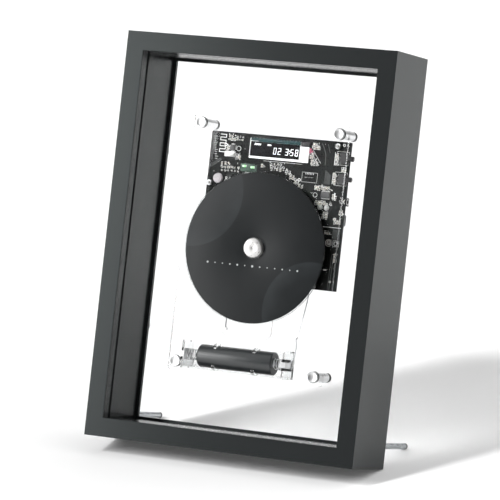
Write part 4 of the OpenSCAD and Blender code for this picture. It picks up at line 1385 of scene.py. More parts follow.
    def plugs(self) -> None:
        """Builds the white plug housings with their pins, and the rose parts."""
        bench, y, pitch = self.bench, Depth.BOARD, self.pin_pitch
        (x0, z0), (x1, z1) = self.plug
        housing = bench.block((x0, y - 2, z0), (x1, y, z1), 0.15)
        slots = bench.joined([
            bench.block((x0 + 1.1, y - 2.4, z0 + 1.5), (x1 - 1.1, y - 1.1, z1 - 1.7)),
            bench.block((x0 + 2.2, y - 2.4, z0 - 0.4), (x0 + 3.2, y - 1.0, z0 + 1.6)),
            bench.block((x1 - 3.2, y - 2.4, z0 - 0.4), (x1 - 2.2, y - 1.0, z0 + 1.6))])
        housing = bench.cut(housing, slots)
        small = bench.block((43.7, y - 2, -25.8), (48.7, y, -22.3), 0.15)
        small = bench.cut(small, bench.block((45.6, y - 1.6, -26.2), (46.8, y - 0.4, -22.9)))
        bench.add(bench.joined([housing, small]), "plug_housings", Palette.nylon,
                  "connector_white", "board_connectors")
        pins = [bench.block((x0 + 1.7 + pitch * k, y - 1.7, z0 + 2.1),
                            (x0 + 2.1 + pitch * k, y - 0.5, z0 + 2.5), 0.08, 1) for k in range(6)]
        tabs = [bench.block((x0 + 1.5 + pitch * k, y - 0.3, z1 - 0.2),
                            (x0 + 1.95 + pitch * k, y, z1 + 1.1), 0.06, 1) for k in range(6)]
        bench.add(bench.joined(pins + tabs), "plug_pins", Palette.can, "satin_steel")
        rose = bench.joined([bench.block((33.4, y - 1.0, 78.2), (34.9, y, 81.8), 0.2),
                             bench.block((35.2, y - 0.8, 79.0), (36.2, y, 80.4), 0.15)])
        bench.add(rose, "rose_parts", Palette.rose, "lamp_green")

    def prints(self, marks: list[Line]) -> None:
        """Builds the white print: outlines, ticks and the meander.

        Args:
            marks: the marks beside the small parts.
        """
        lines = list(marks)
        for x, z, wide, high in ((63.6, 9.9, 3.6, 3.6), (61.8, 76.4, 8.8, 9.4),
                                 (61.8, 60.3, 8.8, 9.4), (35.5, 59.3, 12, 6.6)):
            lines += outline(x, z, wide / 2 + 0.5, high / 2 + 0.5, 0.2)
        for k in range(11):
            x, z = -50.4 + 0.33 * k, 85 - 1.75 * k
            lines.append((x, z, x + (1.5 if k % 3 else 2.3), z, 0.34))
        left, right, step, bars = -44.2, -39.4, 2.3, 7
        for k in range(bars):
            z = 87 - step * k
            lines.append((left, z, right, z, 0.6))
            edge = left if k % 2 else right
            if k < bars - 1:
                lines.append((edge, z, edge, z - step, 0.6))
        lines += [(51.4 + 1.28 * k, 22.2, 51.9 + 1.28 * k, 22.25, 0.5) for k in range(12)]
        lines += [(51 + 0.9 * k, 30.2 + 0.4 * k, 51 + 0.9 * k, 33.4 + 0.4 * k, 0.25)
                  for k in range(4)]
        lines += [(56.0, -11.1, 57.7, -11.1, 1.1), (-37.4, 76.1, -30.4, 76.7, 0.3),
                  (-5.4, 69.0, 28, 69.0, 0.22), (58.4, 44.6, 58.4, 48.6, 0.9),
                  (55.2, 70.8, 55.2, 80.6, 0.35), (55.0, 55.8, 55.0, 64.4, 0.35),
                  (65.0, 44.6, 67.0, 41.4, 0.5), (65.0, 41.4, 67.0, 44.6, 0.5),
                  (65.4, 35.6, 67.2, 33.2, 0.5), (34.6, 79.3, 42.1, 69.2, 0.28),
                  (36.4, 80.5, 43.4, 71.2, 0.28)]
        bench, y = self.bench, Depth.BOARD
        bench.add(bench.strips(lines, y - 0.035, y + 0.01), "board_print_lines",
                  Palette.silk, "connector_white")

    def pads(self) -> None:
        """Builds the ring pads, the print rings, the solder joints and the round cans."""
        bench, y = self.bench, Depth.BOARD
        rings = [(x, z, 2.15) for x, z in self.holes]
        rings += [(62, 86.7, 1.2), (-39, 79.1, 1.2), (50, -25.4, 0.7), (26.9, 56.7, 1.3),
                  (62.2, -20, 0.9), (-48, 12, 0.9), (-48, 4, 0.9)]
        ring = bench.turned([(-0.06, 0.56), (-0.06, 0.94), (0.005, 1.0), (0.005, 0.52)],
                            sides=28, ring=True)
        bench.add(bench.copies(ring, [at(x, y, z, 0, (r, 1, r)) for x, z, r in rings]),
                  "board_ring_pads", Palette.solder, "satin_steel")
        ring = bench.turned([(-0.03, 0.84), (-0.03, 1.0), (0.005, 1.0), (0.005, 0.84)],
                            sides=32, ring=True)
        marks = [(41.8, 46.2, 1.9), (46.9, 37.2, 2.15), (52.6, 37.0, 2.15), (63.6, 9.9, 1.6),
                 (57.6, 10.1, 2.9), (-27.6, 76.8, 2.0), (43.8, 34.0, 1.3)]
        bench.add(bench.copies(ring, [at(x, y, z, 0, (r, 1, r)) for x, z, r in marks]),
                  "board_print_rings", Palette.silk, "connector_white")
        joint = bench.turned([(-0.005, 0.85), (0.05, 0.8), (0.35, 0.42), (0.75, 0.3),
                              (0.85, 0.18)], sides=16)
        spots = [(31.9 + self.pin_pitch * k, 58.4) for k in range(6)]
        spots += [(45.2, -24), (47.2, -24)]
        spots += [(62.2, z) for z in (80, 77.5, 75, 72.8, 64, 61.5, 59)]
        spots += [(-16 + 2.54 * k, 68) for k in range(16)]
        spots += [(-45, 74 - 2 * k) for k in range(5)]
        bench.add(bench.copies(joint, [at(x, Depth.BOARD_BACK, z) for x, z in spots]),
                  "board_solder_joints", Palette.solder, "satin_steel")
        can = bench.turned([(-1.6, 0.5), (-1.6, 1.35), (-1.45, 1.55), (-1.1, 1.6),
                            (-1.0, 1.52), (-0.9, 1.6), (0.0, 1.6)], sides=28)
        bench.add(bench.copies(can, [at(x, y, z) for x, z in self.can_at]),
                  "board_round_cans", Palette.can, "satin_steel")

    def traces(self) -> None:
        """Builds the raised copper runs that show through the mask."""
        bench, y, rear = self.bench, Depth.BOARD, Depth.BOARD_BACK
        runs = [(53.8, 13.6, 55.4, 0.5, 0.5), (55.4, 0.5, 49.8, -24.3, 0.5),
                (62.9, 1.2, 62, -26.2, 0.5), (61.4, 1.2, 60.5, -26.2, 0.35),
                (-42.5, 68.1, -52.0, 61, 0.45), (-41.6, 67.2, -52.0, 59.4, 0.45),
                (43.4, 86.4, 45.8, 82.0, 0.4), (45.8, 82.0, 47.3, 78.0, 0.4),
                (47.3, 78.0, 47.5, 70, 0.4), (48.4, 86.4, 50.6, 80, 0.3)]
        for k in range(7):
            runs += [(48.6 + 0.7 * k, 66 - 0.5 * k, 48.6 + 0.7 * k, 55.4, 0.28),
                     (60.4 + 0.9 * k, 20.8, 60.4 + 0.9 * k, 13.6 - 0.3 * k, 0.3),
                     (-20 + 1.1 * k, 58.4, -26 + 1.1 * k, 52.6, 0.28)]
        bench.add(bench.strips(runs, y - 0.05, y + 0.01), "board_traces", Palette.trace,
                  "board_mask")
        back = [(-44 + 2.2 * k, 88, -44 + 2.2 * k, 80 - (k % 4), 0.35) for k in range(12)]
        back += [(0 + 1.2 * k, 36, 6 + 1.2 * k, 48, 0.35) for k in range(9)]
        bench.add(bench.strips(back, rear - 0.01, rear + 0.05), "board_rear_traces",
                  Palette.trace, "board_mask")


class Segment(Enum):
    """Strokes of a seven-stroke digit: start and end on a 1 by 2 grid."""

    TOP = (0, 2, 1, 2)
    MIDDLE = (0, 1, 1, 1)
    BOTTOM = (0, 0, 1, 0)
    UPPER_LEFT = (0, 1, 0, 2)
    LOWER_LEFT = (0, 0, 0, 1)
    UPPER_RIGHT = (1, 1, 1, 2)
    LOWER_RIGHT = (1, 0, 1, 1)


@dataclass
class Display(Assembly):
    """The small display: glass, digits, light guide and connection strip.

    Attributes:
        glass_y: depth of the glass' face.
        digit_high: height of a digit.
        digit_wide: width of a digit.
        stroke: width of a stroke.
        lean: how far a digit's top leans right.
        base_z: height of the digits' foot.
        number: the digits that are lit, each with its place across.
        colon: place of the colon, across.
    """

    glass_y: float = 39.9
    digit_high: float = 4.7
    digit_wide: float = 2.0
    stroke: float = 0.42
    lean: float = 0.3
    base_z: float = 74.9
    number: tuple[tuple[str, float], ...] = (("0", 3.4), ("2", 7.3), ("3", 13.6), ("5", 18.0),
                                             ("8", 22.0))
    colon: float = 17.05

    def strokes(self, digit: str) -> list[Segment]:
        """The strokes that are lit for a digit, each written as a letter.

        Args:
            digit: the digit.

        Returns:
            Its strokes.
        """
        lit = {"0": "TBLlRr", "2": "TMBlR", "3": "TMBRr", "5": "TMBLr", "8": "TMBLlRr"}[digit]
        letters = dict(zip("TMBLlRr", Segment))
        return [letters[letter] for letter in lit]

    def lit_lines(self) -> list[Line]:
        """Everything that the display shows.

        Returns:
            The digits' strokes, the colon and two small signs.
        """
        base, wide, half, lean = self.base_z, self.digit_wide, self.digit_high / 2, self.lean
        lines = []
        for digit, x in self.number:
            for stroke in self.strokes(digit):
                a, b, c, d = stroke.value
                lines.append((x + a * wide + b * lean / 2, base + b * half,
                              x + c * wide + d * lean / 2, base + d * half, self.stroke))
        lines += [(self.colon, base + z, self.colon + 0.05, base + z, 0.62) for z in (1.35, 3.35)]
        lines += [(-13.2 + 1.5 * k, 80.9, -12.7 + 1.5 * k, 82.1 - 0.2 * (k % 2), 0.6)
                  for k in range(4)]
        return lines + [(-12.9, 81.5, -8.2, 81.5, 0.34), (-1.8, 81.5, 0.4, 81.5, 1.0)]

    def build(self) -> None:
        """Dresses the display and lights its digits."""
        bench, glass, y = self.bench, self.glass_y, Depth.BOARD
        self.dress(Palette.glass_black, "display_panel")
        self.dress(Palette.guide, "display_backlight")
        self.dress(Palette.ledge, "display_ledge")
        bench.add(bench.strips(self.lit_lines(), glass - 0.02, glass + 0.05),
                  "display_digits", Palette.digits, "light_guide")
        pins = [(-15.4 + 2.6 * k, 86.1, -15.4 + 2.6 * k, 86.6, 0.4) for k in range(16)]
        bench.add(bench.strips(pins, y - 0.3, y + 0.01), "display_pins", Palette.trace,
                  "satin_steel")
        film = bench.block((-17.2, 40.7, 86.16), (25.9, y, 86.36), 0.04, 1)
        bench.add(film, "display_film", Palette.ledge, "ledge_tint")
        corner = bench.block((25.95, 40.7, 82.6), (33.1, y, 86.36), 0.08, 2)
        bench.add(corner, "display_corner", Palette.moulded, "moulded_black")
        lip = bench.block((-16.6, glass + 0.05, 72.1), (25.1, 40.8, 72.66), 0.05, 1)
        bench.add(lip, "display_lip", Palette.glass_black, "display_black")
        bezel = [(-17.2, 72.0, -17.2, 83.9, 0.42), (-17.2, 83.9, -10.4, 83.9, 0.25)]
        bench.add(bench.strips(bezel, glass - 0.04, 40.8), "display_bezel", Palette.guide,
                  "light_guide")


@dataclass
class SideControls(Assembly):
    """The two side buttons with their switches, and the two sockets.

    Attributes:
        buttons: each button's node, body and height.
        button_y: depth of a button's axis.
        button_x: where a button starts and ends.
        button_r: radius of a button.
        stem_x: where a button's stem starts.
        jack: depth and height of the audio socket's axis.
        charge_z: height of the charging socket's middle.
    """

    buttons: tuple[tuple[str, Body, float], ...] = (
        ("upper_button", Body.UPPER_BUTTON, 76.4), ("lower_button", Body.LOWER_BUTTON, 60.3))
    button_y: float = 39.6
    button_x: Spot = (67.6, 72.0)
    button_r: float = 2.0
    stem_x: float = 65.0
    jack: Spot = (46.1, 43.0)
    charge_z: float = 28.5

    def build(self) -> None:
        """Dresses switches and sockets and turns the buttons."""
        bench, r = self.bench, self.button_r
        self.dress(Palette.moulded, "switch_bodies")
        self.dress(Palette.moulded, "headphone_jack")
        self.dress(Palette.satin, "charging_socket")
        near, far = self.button_x
        for node, body, z in self.buttons:
            knob = bench.turned([
                (near, r - 0.15), (near + 0.15, r), (far - 0.7, r), (far - 0.35, r - 0.12),
                (far - 0.1, r - 0.4), (far, r - 0.8), (far - 0.1, r - 1.3)],
                (0, self.button_y, z), Axis.X, 40)
            stem = bench.block((self.stem_x, 40.5, z - 0.9), (near + 0.5, 41.4, z + 0.9), 0.1, 1)
            bench.add(bench.joined([knob, stem]), node + "_cap", Palette.button,
                      "moulded_black", node, body=body)
        y, z = self.jack
        ring = bench.turned([(67.75, 1.85), (67.75, 2.35), (67.95, 2.3), (68.0, 2.1),
                             (67.95, 1.85)], (0, y, z), Axis.X, 36, ring=True)
        bench.add(ring, "audio_socket_ring", Palette.bright, "satin_steel")
        low, charge = Depth.BOARD_BACK - 0.3, self.charge_z
        legs = [bench.block((x, low, z + dz - 0.3), (x + 0.8, low + 0.9, z + dz + 0.3), 0.05, 1)
                for x in (55.2, 60.6, 65.4) for dz in (-3.3, 3.3)]
        lugs = [bench.block((x, low, charge + dz - 0.25),
                            (x + 1.6, low + 1.9, charge + dz + 0.25), 0.05, 1)
                for x in (61, 65) for dz in (-4.6, 4.6)]
        bench.add(bench.joined(legs + lugs), "socket_legs", Palette.solder, "satin_steel")
        posts = [(60.1, z + dz, 60.1, z + dz + 0.9, 0.9) for *_, z in self.buttons
                 for dz in (-3.6, -0.5, 2.6)]
        bench.add(bench.strips(posts, Depth.BOARD - 0.4, Depth.BOARD + 0.01), "switch_legs",
                  Palette.solder, "satin_steel")


@dataclass
class DiscSet(Assembly):
    """The disc on its turntable and the puck that clamps it.

    Attributes:
        thick: thickness of the disc.
        radius: radius of the disc.
        hole_r: radius of its hole.
        print_r: radii of the printed area.
        mirror_r: radius at which the mirror layer starts.
        sides: number of corners of the disc's circles.
        puck_r: radius of the puck.
        puck_y: depths of the puck's face and rim.
        dot_sizes: sizes of the printed dots, from the left.
        pad_y: depths of the turntable's pad.
    """

    thick: float = 1.2
    radius: float = 60.0
    hole_r: float = 7.5
    print_r: Spot = (9.0, 59.1)
    mirror_r: float = 18.0
    sides: int = 192
    puck_r: float = 8.0
    puck_y: Spot = (26.65, 29.85)
    dot_sizes: tuple[float, ...] = (1.6, 1.0, 1.0, 1.2, 1.5, 1.0, 1.8, 1.2, 1.0, 1.0, 1.2, 1.0, 1.5)
    pad_y: Spot = (31.24, 31.36)

    def build(self) -> None:
        """Builds the disc, the puck and the turntable's pad."""
        self.layers()
        self.puck()
        bench = self.bench
        dots = [at(-38.6 + 6.45 * k, Depth.DISC, -14.4, 0, (size, 1, size))
                for k, size in enumerate(self.dot_sizes)]
        dot = bench.turned([(-0.015, 0.3), (-0.015, 0.5), (0.01, 0.52)], sides=20)
        bench.add(bench.copies(dot, dots), "disc_dot_row", Palette.dots, "disc_face",
                  body=Body.DISC)
        self.dress(Palette.moulded, "turntable")
        self.dress(Palette.satin, "hub_magnet")
        self.dress(Palette.bright, "spindle_shaft")
        front, back = self.pad_y
        pad = bench.turned([(front, 9.6), (front, 13.4), (back, 13.6), (back, 9.4)],
                           sides=64, ring=True)
        bench.add(pad, "turntable_pad", Palette.rubber, "rubber", body=Body.SPINDLE)

    def layers(self) -> None:
        """Turns the disc's print, its mirror and the clear plastic around both."""
        bench, sides = self.bench, self.sides
        face, back = Depth.DISC, Depth.DISC + self.thick
        (inner, outer), rim, hole = self.print_r, self.radius, self.hole_r
        layer, start = face + 0.1, self.mirror_r
        ink = bench.turned([
            (face + 0.02, inner), (face, inner + 0.1), (face, outer - 0.1), (face + 0.02, outer),
            (layer, outer), (layer, inner)], sides=sides, ring=True)
        bench.add(ink, "disc_print_layer", Palette.ink, "disc_face", "disc", body=Body.DISC)
        mirror = bench.turned([
            (layer, start), (layer, outer - 0.4), (layer + 0.12, outer - 0.4),
            (layer + 0.12, start)], sides=sides, ring=True)
        bench.add(mirror, "disc_mirror_layer", Palette.data, "disc_face", body=Body.DISC)
        clear = bench.turned([
            (face + 0.06, outer + 0.02), (face + 0.06, rim - 0.1), (face + 0.16, rim),
            (back - 0.12, rim), (back, rim - 0.12), (back, 17.6), (back - 0.15, 17.2),
            (back - 0.15, 16.6), (back, 16.2), (back, hole + 0.1), (back - 0.1, hole),
            (face + 0.1, hole), (face + 0.02, hole + 0.08), (face + 0.02, inner - 0.02),
            (layer + 0.14, inner - 0.02), (layer + 0.14, outer + 0.02)], sides=sides, ring=True)
        bench.add(clear, "disc_clear_layer", Palette.rim, "clear_acrylic", body=Body.DISC)

    def puck(self) -> None:
        """Turns the puck with its dimple, its grooved edge and its stud."""
        (front, rim), r = self.puck_y, self.puck_r
        puck = self.bench.turned([
            (front + 0.35, 0.35), (front + 0.28, 0.8), (front + 0.06, 1.15), (front, 1.4),
            (front, r - 0.95), (front + 0.05, r - 0.8), (front + 0.18, r - 0.62),
            (front + 0.55, r - 0.2), (front + 0.8, r), (rim - 0.55, r), (rim - 0.45, r - 0.12),
            (rim - 0.3, r - 0.12), (rim - 0.2, r), (rim, r - 0.15), (rim, 2.95),
            (rim + 2.2, 2.95), (rim + 2.4, 2.7)], sides=96)
        self.bench.add(puck, "puck_turned", Palette.puck, "puck_alloy", "disc_puck", body=Body.PUCK)


@dataclass
class BatteryPack(Assembly):
    """The round cell in its clear cradle, its springs, contacts and lead.

    Attributes:
        middle: upright place of the cell's middle.
        cell_r: radius of the cell.
        cell_len: length of the cell.
        contact_reach: distance of the contact plates from the middle.
        spring_r: radius of a spring.
        wire_r: radius of its wire.
        spring_gap: how far a spring stays off the cell and off its contact.
        screw_reach: distance of the cradle's screws from the middle.
        screw_seat: depth of their heads.
        lead: points of the lead, in mm.
        lead_r: radius of the lead.
    """

    middle: Point = (-2.3, 25.4, -88.0)
    cell_r: float = 9.0
    cell_len: float = 65.0
    contact_reach: float = 41.75
    spring_r: float = 4.0
    wire_r: float = 0.45
    spring_gap: float = 0.46
    screw_reach: float = 39.05
    screw_seat: float = 34.7
    lead: tuple[Point, ...] = (
        (46.2, 41, -22.9), (46.2, 41, -28), (45.6, 41, -36), (44.3, 41, -45),
        (42.4, 41, -54), (41.2, 40.9, -61), (40.9, 40.3, -65.2), (40.9, 38.4, -66.4),
        (41.2, 36.2, -66.9), (42.2, 34.6, -68.4), (43.2, 33.6, -71.4), (43.7, 32.6, -75.4),
        (43.8, 31.4, -79.2), (43.6, 30, -82), (43.1, 28.4, -84.2), (42.7, 27, -85.6))
    lead_r: float = 0.45

    def build(self) -> None:
        """Dresses the cradle and builds the cell, the springs, the lead and the screws."""
        bench = self.bench
        self.dress(Palette.cradle, "battery_holder")
        self.dress(Palette.bright, "contact_plates")
        self.cell()
        self.springs()
        bench.add(bench.wire(self.lead, self.lead_r), "cell_lead", Palette.sheath,
                  "lead_sheath", "battery_lead")
        x, _, z = self.middle
        screw = bench.pan_screw(1.9, 1.3, 1.0, 4.8)
        turned = Matrix.Rotation(math.pi, 4, "Z")
        spots = [Matrix.Translation((x + way * self.screw_reach, self.screw_seat, z)) @ turned
                 for way in BOTH]
        bench.add(bench.copies(screw, spots), "holder_screw_pair", Palette.satin,
                  "satin_steel", "holder_screws")

    def cell(self) -> None:
        """Turns the cell's sleeve, its white ring and its two terminals."""
        bench, at_middle, r, half = self.bench, self.middle, self.cell_r, self.cell_len / 2
        wrap = bench.turned([
            (1.25 - half, 5.6), (1.16 - half, 6.1), (1.2 - half, r - 1.3), (1.5 - half, r - 0.8),
            (2.2 - half, r - 0.14), (2.6 - half, r), (half - 0.5, r), (half - 0.25, r - 0.06),
            (half - 0.06, r - 0.25), (half, r - 0.5), (half, 3.3), (half - 0.1, 3.1),
            (half - 0.9, 3.1), (2.6 - half, 3.1)], at_middle, Axis.X, 96, ring=True)
        bench.add(wrap, "cell_sleeve", Palette.wrap, "cell_wrap", "battery_cell")
        ring = bench.turned([(1.1 - half, 3.1), (1.1 - half, 5.7), (1.5 - half, 5.7),
                             (1.5 - half, 3.1)], at_middle, Axis.X, 64, ring=True)
        bench.add(ring, "cell_insulator", Palette.insulator, "connector_white")
        button = bench.turned([(0.12 - half, 1.2), (0.0 - half, 1.6), (0.0 - half, 2.6),
                               (0.2 - half, 2.9), (0.6 - half, 3.0), (1.9 - half, 3.0)],
                              at_middle, Axis.X, 48)
        base = bench.turned([(half - 1.6, 2.2), (half - 1.6, 3.0), (half - 0.75, 3.0),
                             (half - 0.75, 2.6), (half - 0.85, 2.4), (half - 0.85, 0.8)],
                            at_middle, Axis.X, 64)
        bench.add(bench.joined([button, base]), "cell_terminals", Palette.bright, "bright_steel")

    def springs(self) -> None:
        """Winds the two springs between the cell and its contacts."""
        coils = []
        for angle in (0, math.pi):
            coil = self.bench.coil(self.cell_len / 2 + self.spring_gap,
                                   self.contact_reach - self.spring_gap,
                                   self.spring_r, self.wire_r, turns=4)
            coil.data.transform(Matrix.Translation(self.middle) @ Matrix.Rotation(angle, 4, "Z"))
            coils.append(coil)
        self.bench.add(self.bench.joined(coils), "spring_pair", Palette.bright,
                       "bright_steel", "contact_springs")


@dataclass
class Drive(Assembly):
    """The disc drive behind the plate: base, motors, gears and optical pickup.

    Attributes:
        base_back: depth of the moulded base's rear face.
        posts: places of the base's four posts.
        motor_y: depths of the spindle motor's ends.
        motor_r: radius of the spindle motor.
        sled_motor_at: place of the sled motor's axis.
        lens_at: place of the lens.
        arm_y: depths of the lens holder's arms and coils.
        under_y: depth of the pickup's rear face.
    """

    base_back: float = 47.8
    posts: tuple[Spot, ...] = ((-27.5, 22.5), (27.5, 22.5), (-27.5, -38), (27.5, -38))
    motor_y: Spot = (39.6, 50.6)
    motor_r: float = 12.2
    sled_motor_at: Spot = (21.1, -9.2)
    lens_at: Spot = (0.0, -24.5)
    arm_y: Spot = (33.9, 34.4)
    under_y: float = 40.6

    def build(self) -> None:
        """Dresses the mechanism and builds its motors and details."""
        self.dress(Palette.moulded, "drive_base", "optical_pickup")
        self.dress(Palette.bright, "guide_rod", "idler_axle", "rod_clips")
        self.dress(Palette.resin, "motor_pinion", "idler_gear")
        self.dress(Palette.lens, "objective_lens")
        self.motors()
        self.base_details()
        self.pickup_details()

    def motors(self) -> None:
        """Turns both motors with their crimped rims and bearing bosses."""
        bench, back, r = self.bench, self.base_back, self.motor_r
        (start, end), (x, z) = self.motor_y, self.sled_motor_at
        big = bench.turned([
            (start - 1, 1.05), (start - 1, 2.7), (start - 0.8, 3.0), (start, 3.0),
            (start, r - 0.8), (start + 0.25, r - 0.2), (start + 0.8, r), (end - 3.4, r),
            (end - 3.2, r - 0.25), (end - 2.8, r - 0.25), (end - 2.6, r), (end - 0.7, r),
            (end - 0.2, r - 0.25), (end, r - 0.9), (end, 3.0), (end + 1.0, 3.0),
            (end + 1.2, 2.7), (end + 1.2, 1.05)], sides=80, ring=True)
        bench.add(big, "spindle_motor_can", Palette.sheet, "satin_steel", "spindle_motor")
        small = bench.turned([
            (back, 1.2), (back, 7.4), (back + 0.2, 7.9), (back + 0.6, 8.0), (back + 6.2, 8.0),
            (back + 6.35, 7.8), (back + 6.7, 7.8), (back + 6.85, 8.0), (back + 7.6, 8.0),
            (back + 8.0, 7.8), (back + 8.2, 7.3), (back + 8.2, 2.1), (back + 9.0, 2.0),
            (back + 9.2, 1.7), (back + 9.2, 0.3)], (x, 0, z), sides=64)
        bench.add(small, "sled_motor_can", Palette.sheet, "satin_steel", "sled_motor")
        tabs = [bench.block((way * 4 - 1.1, end, -8.65), (way * 4 + 1.1, end + 1.0, -8.15), 0.08, 1)
                for way in BOTH]
        tabs += [bench.block((x + way * 4 - 0.9, back + 8.2, z + 4.2),
                             (x + way * 4 + 0.9, back + 9.0, z + 4.6), 0.08, 1) for way in BOTH]
        card = bench.block((-7.5, end - 0.02, -10.6), (7.5, end + 0.5, -6.4), 0.25, 2)
        bench.add(bench.joined(tabs), "motor_tabs", Palette.gold, "key_alloy")
        bench.add(card, "motor_brush_card", Palette.nylon, "connector_white")

    def base_details(self) -> None:
        """Builds the base's ribs, the rubber dampers and the screws."""
        bench, y, plate, board = self.bench, self.base_back, Depth.PLATE_BACK, Depth.BOARD_BACK
        ribs = [(-30.5, -30, -30.5, 14, 1.2), (30.5, -30, 30.5, 14, 1.2),
                (-20, 26.2, 20, 26.2, 1.2), (-20, -42.2, 20, -42.2, 1.2),
                (-24.5, 19.5, -10.6, 9.4, 1.2), (24.5, 19.5, 10.6, 9.4, 1.2),
                (-24.5, -35, -18.2, -30, 1.2), (-18, -15.2, 8, -15.2, 1.2),
                (-18, -40, -18, -15.2, 1.2), (8, -40, 8, -26, 1.2), (-18, -40, 8, -40, 1.2)]
        bench.add(bench.strips(ribs, y - 0.1, y + 1.6), "base_ribs", Palette.moulded,
                  "moulded_black")
        damper = bench.turned([
            (0, 1.1), (0, 3.0), (0.25, 3.2), (0.7, 3.2), (0.9, 2.5), (1.1, 2.5), (1.3, 3.2),
            (1.75, 3.2), (2.0, 3.0), (2.0, 1.1)], sides=40, ring=True)
        bench.add(bench.copies(damper, [at(x, plate, z) for x, z in self.posts]),
                  "damper_set", Palette.rubber, "rubber", "drive_dampers")
        screws = []
        for seat, spots in ((y, self.posts), (board, CircuitBoard.holes)):
            screw = bench.pan_screw(1.9, 1.3, 1.0, seat - plate + 2.2)
            screws.append(bench.copies(screw, [at(x, seat, z) for x, z in spots]))
        bench.add(bench.joined(screws), "small_screw_set", Palette.satin, "satin_steel",
                  "module_screws")

    def pickup_details(self) -> None:
        """Builds the pickup's cover, the lens holder's arms and its coils."""
        bench, sled, rear = self.bench, Body.SLED, self.under_y
        (x, z), (near, far) = self.lens_at, self.arm_y
        cover = bench.block((-17.6, 34.25, z - 7.2), (16.6, 34.42, z + 10.2), 0.06, 1)
        cover = bench.cut(cover, bench.block((x - 7.6, 33.8, z - 5.6), (x + 7.6, 34.8, z + 7.4)))
        bench.add(cover, "pickup_cover", Palette.sheet, "satin_steel", body=sled)
        holder = [bench.turned([
            (near - 0.05, 3.1), (near - 0.2, 3.3), (near - 0.2, 3.9), (near - 0.05, 4.1),
            (far, 4.1), (far, 3.1)], (x, 0, z), sides=48, ring=True)]
        holder += [bench.block((x + way * 4.4 - 0.5, near, z - 4.6),
                               (x + way * 4.4 + 0.5, far, z + 6.4), 0.15, 2) for way in BOTH]
        bench.add(bench.joined(holder), "lens_holder", Palette.moulded, "moulded_black", body=sled)
        coils = [bench.turned([(near + 0.05, 0.9), (near + 0.05, 1.6), (far, 1.6), (far, 0.9)],
                              (x + way * 6.3, 0, z + 0.4), sides=28, ring=True) for way in BOTH]
        bench.add(bench.joined(coils), "lens_coils", Palette.copper, "key_alloy", body=sled)
        film = bench.block((-8, rear, z - 6.5), (6, rear + 0.12, z + 4.5), 0.05, 1)
        bench.add(film, "pickup_film", Palette.flex, "key_alloy", body=sled)
        parts = [bench.turned([(rear, 3.4), (rear + 0.14, 3.4), (rear + 0.18, 3.2),
                               (rear + 0.18, 0.8)], (-12.6, 0, z + 4.4), sides=36),
                 bench.block((-6.6, rear + 0.02, z - 2), (-1.6, rear + 0.18, z + 2), 0.05, 1)]
        bench.add(bench.joined(parts), "pickup_rear_parts", Palette.epoxy, "chip_epoxy", body=sled)


@dataclass
class Pegs(Assembly):
    """The two rods that the frame leans on, with rubber tips.

    Attributes:
        pegs: each tip's node, its body and its side.
        across: distance of a peg from the middle.
        height: height of the pegs' axes, from the middle of the frame.
        tip_y: depths between which a tip lies.
        radius: radius of a peg.
        stub_r: radius of the stub that holds a tip in its rod.
    """

    pegs: tuple[tuple[str, Body, int], ...] = (
        ("peg_tip_left", Body.PEG_LEFT, -1), ("peg_tip_right", Body.PEG_RIGHT, 1))
    across: float = 108.2
    height: float = -142.5
    tip_y: Spot = (117.2, 119.7)
    radius: float = 2.5
    stub_r: float = 1.4

    def build(self) -> None:
        """Dresses the rods and turns their tips."""
        bench, r, stub = self.bench, self.radius, self.stub_r
        self.dress(Palette.peg, "support_peg_left", "support_peg_right")
        start, end = self.tip_y
        for node, body, way in self.pegs:
            tip = bench.turned([
                (start - 4, stub - 0.2), (start - 3.9, stub), (start, stub), (start, r - 0.05),
                (start + 0.1, r), (end - 0.6, r), (end - 0.25, r - 0.12), (end - 0.06, r - 0.4),
                (end, r - 0.8)], (way * self.across, 0, self.height), sides=48)
            bench.add(tip, node + "_foot", Palette.rubber, "rubber", node, body=body)


@dataclass
class RearFittings(Assembly):
    """Turn buttons, hangers, bumpers and their screws on the rear of the frame.

    Attributes:
        flange_x: distance of the screws from the middle.
        turn_z: distance of the turn buttons from the middle.
        turn_seat: depth of the turn buttons' screw heads.
        hanger_z: height of the hangers, from the middle of the frame.
        hanger_reach: distance of a hanger's screws from its middle.
        grip: how deep a screw reaches into the frame.
        bumper_z: heights of the bumpers, from the middle of the frame.
    """

    flange_x: float = 109.4
    turn_z: float = 70.0
    turn_seat: float = 64.6
    hanger_z: float = 118.0
    hanger_reach: float = 15.5
    grip: float = 7.0
    bumper_z: Spot = (-118.0, 90.0)

    def build(self) -> None:
        """Dresses the sheet parts and builds screws and bumpers."""
        bench, x, y, seat = self.bench, self.flange_x, Depth.FRAME_BACK, self.turn_seat
        self.dress(Palette.sheet, "hanger_plates", "turn_button_top_left",
                   "turn_button_top_right", "turn_button_bottom_left",
                   "turn_button_bottom_right")
        turn = bench.pan_screw(2.75, 1.6, 1.5, seat - y + self.grip)
        hang = bench.pan_screw(2.75, 1.6, 1.5, self.grip)
        both = bench.joined([
            bench.copies(turn, [at(sx * x, seat, sz * self.turn_z) for sx in BOTH for sz in BOTH]),
            bench.copies(hang, [at(sx * x, y, self.hanger_z + sz * self.hanger_reach)
                                for sx in BOTH for sz in BOTH])])
        bench.add(both, "rear_screw_set", Palette.satin, "satin_steel", "rear_screws")
        bumper = bench.turned([(0, 3.7), (0.15, 3.8), (2.2, 3.8), (3.1, 3.45), (3.7, 2.7),
                               (3.95, 1.6), (4.0, 0.6)], sides=40)
        bench.add(bench.copies(bumper, [at(sx * x, y, z) for sx in BOTH
                                        for z in self.bumper_z]),
                  "bumper_set", Palette.rubber, "rubber", "wall_bumpers")


# ------------------------------------------------------------------------ studio


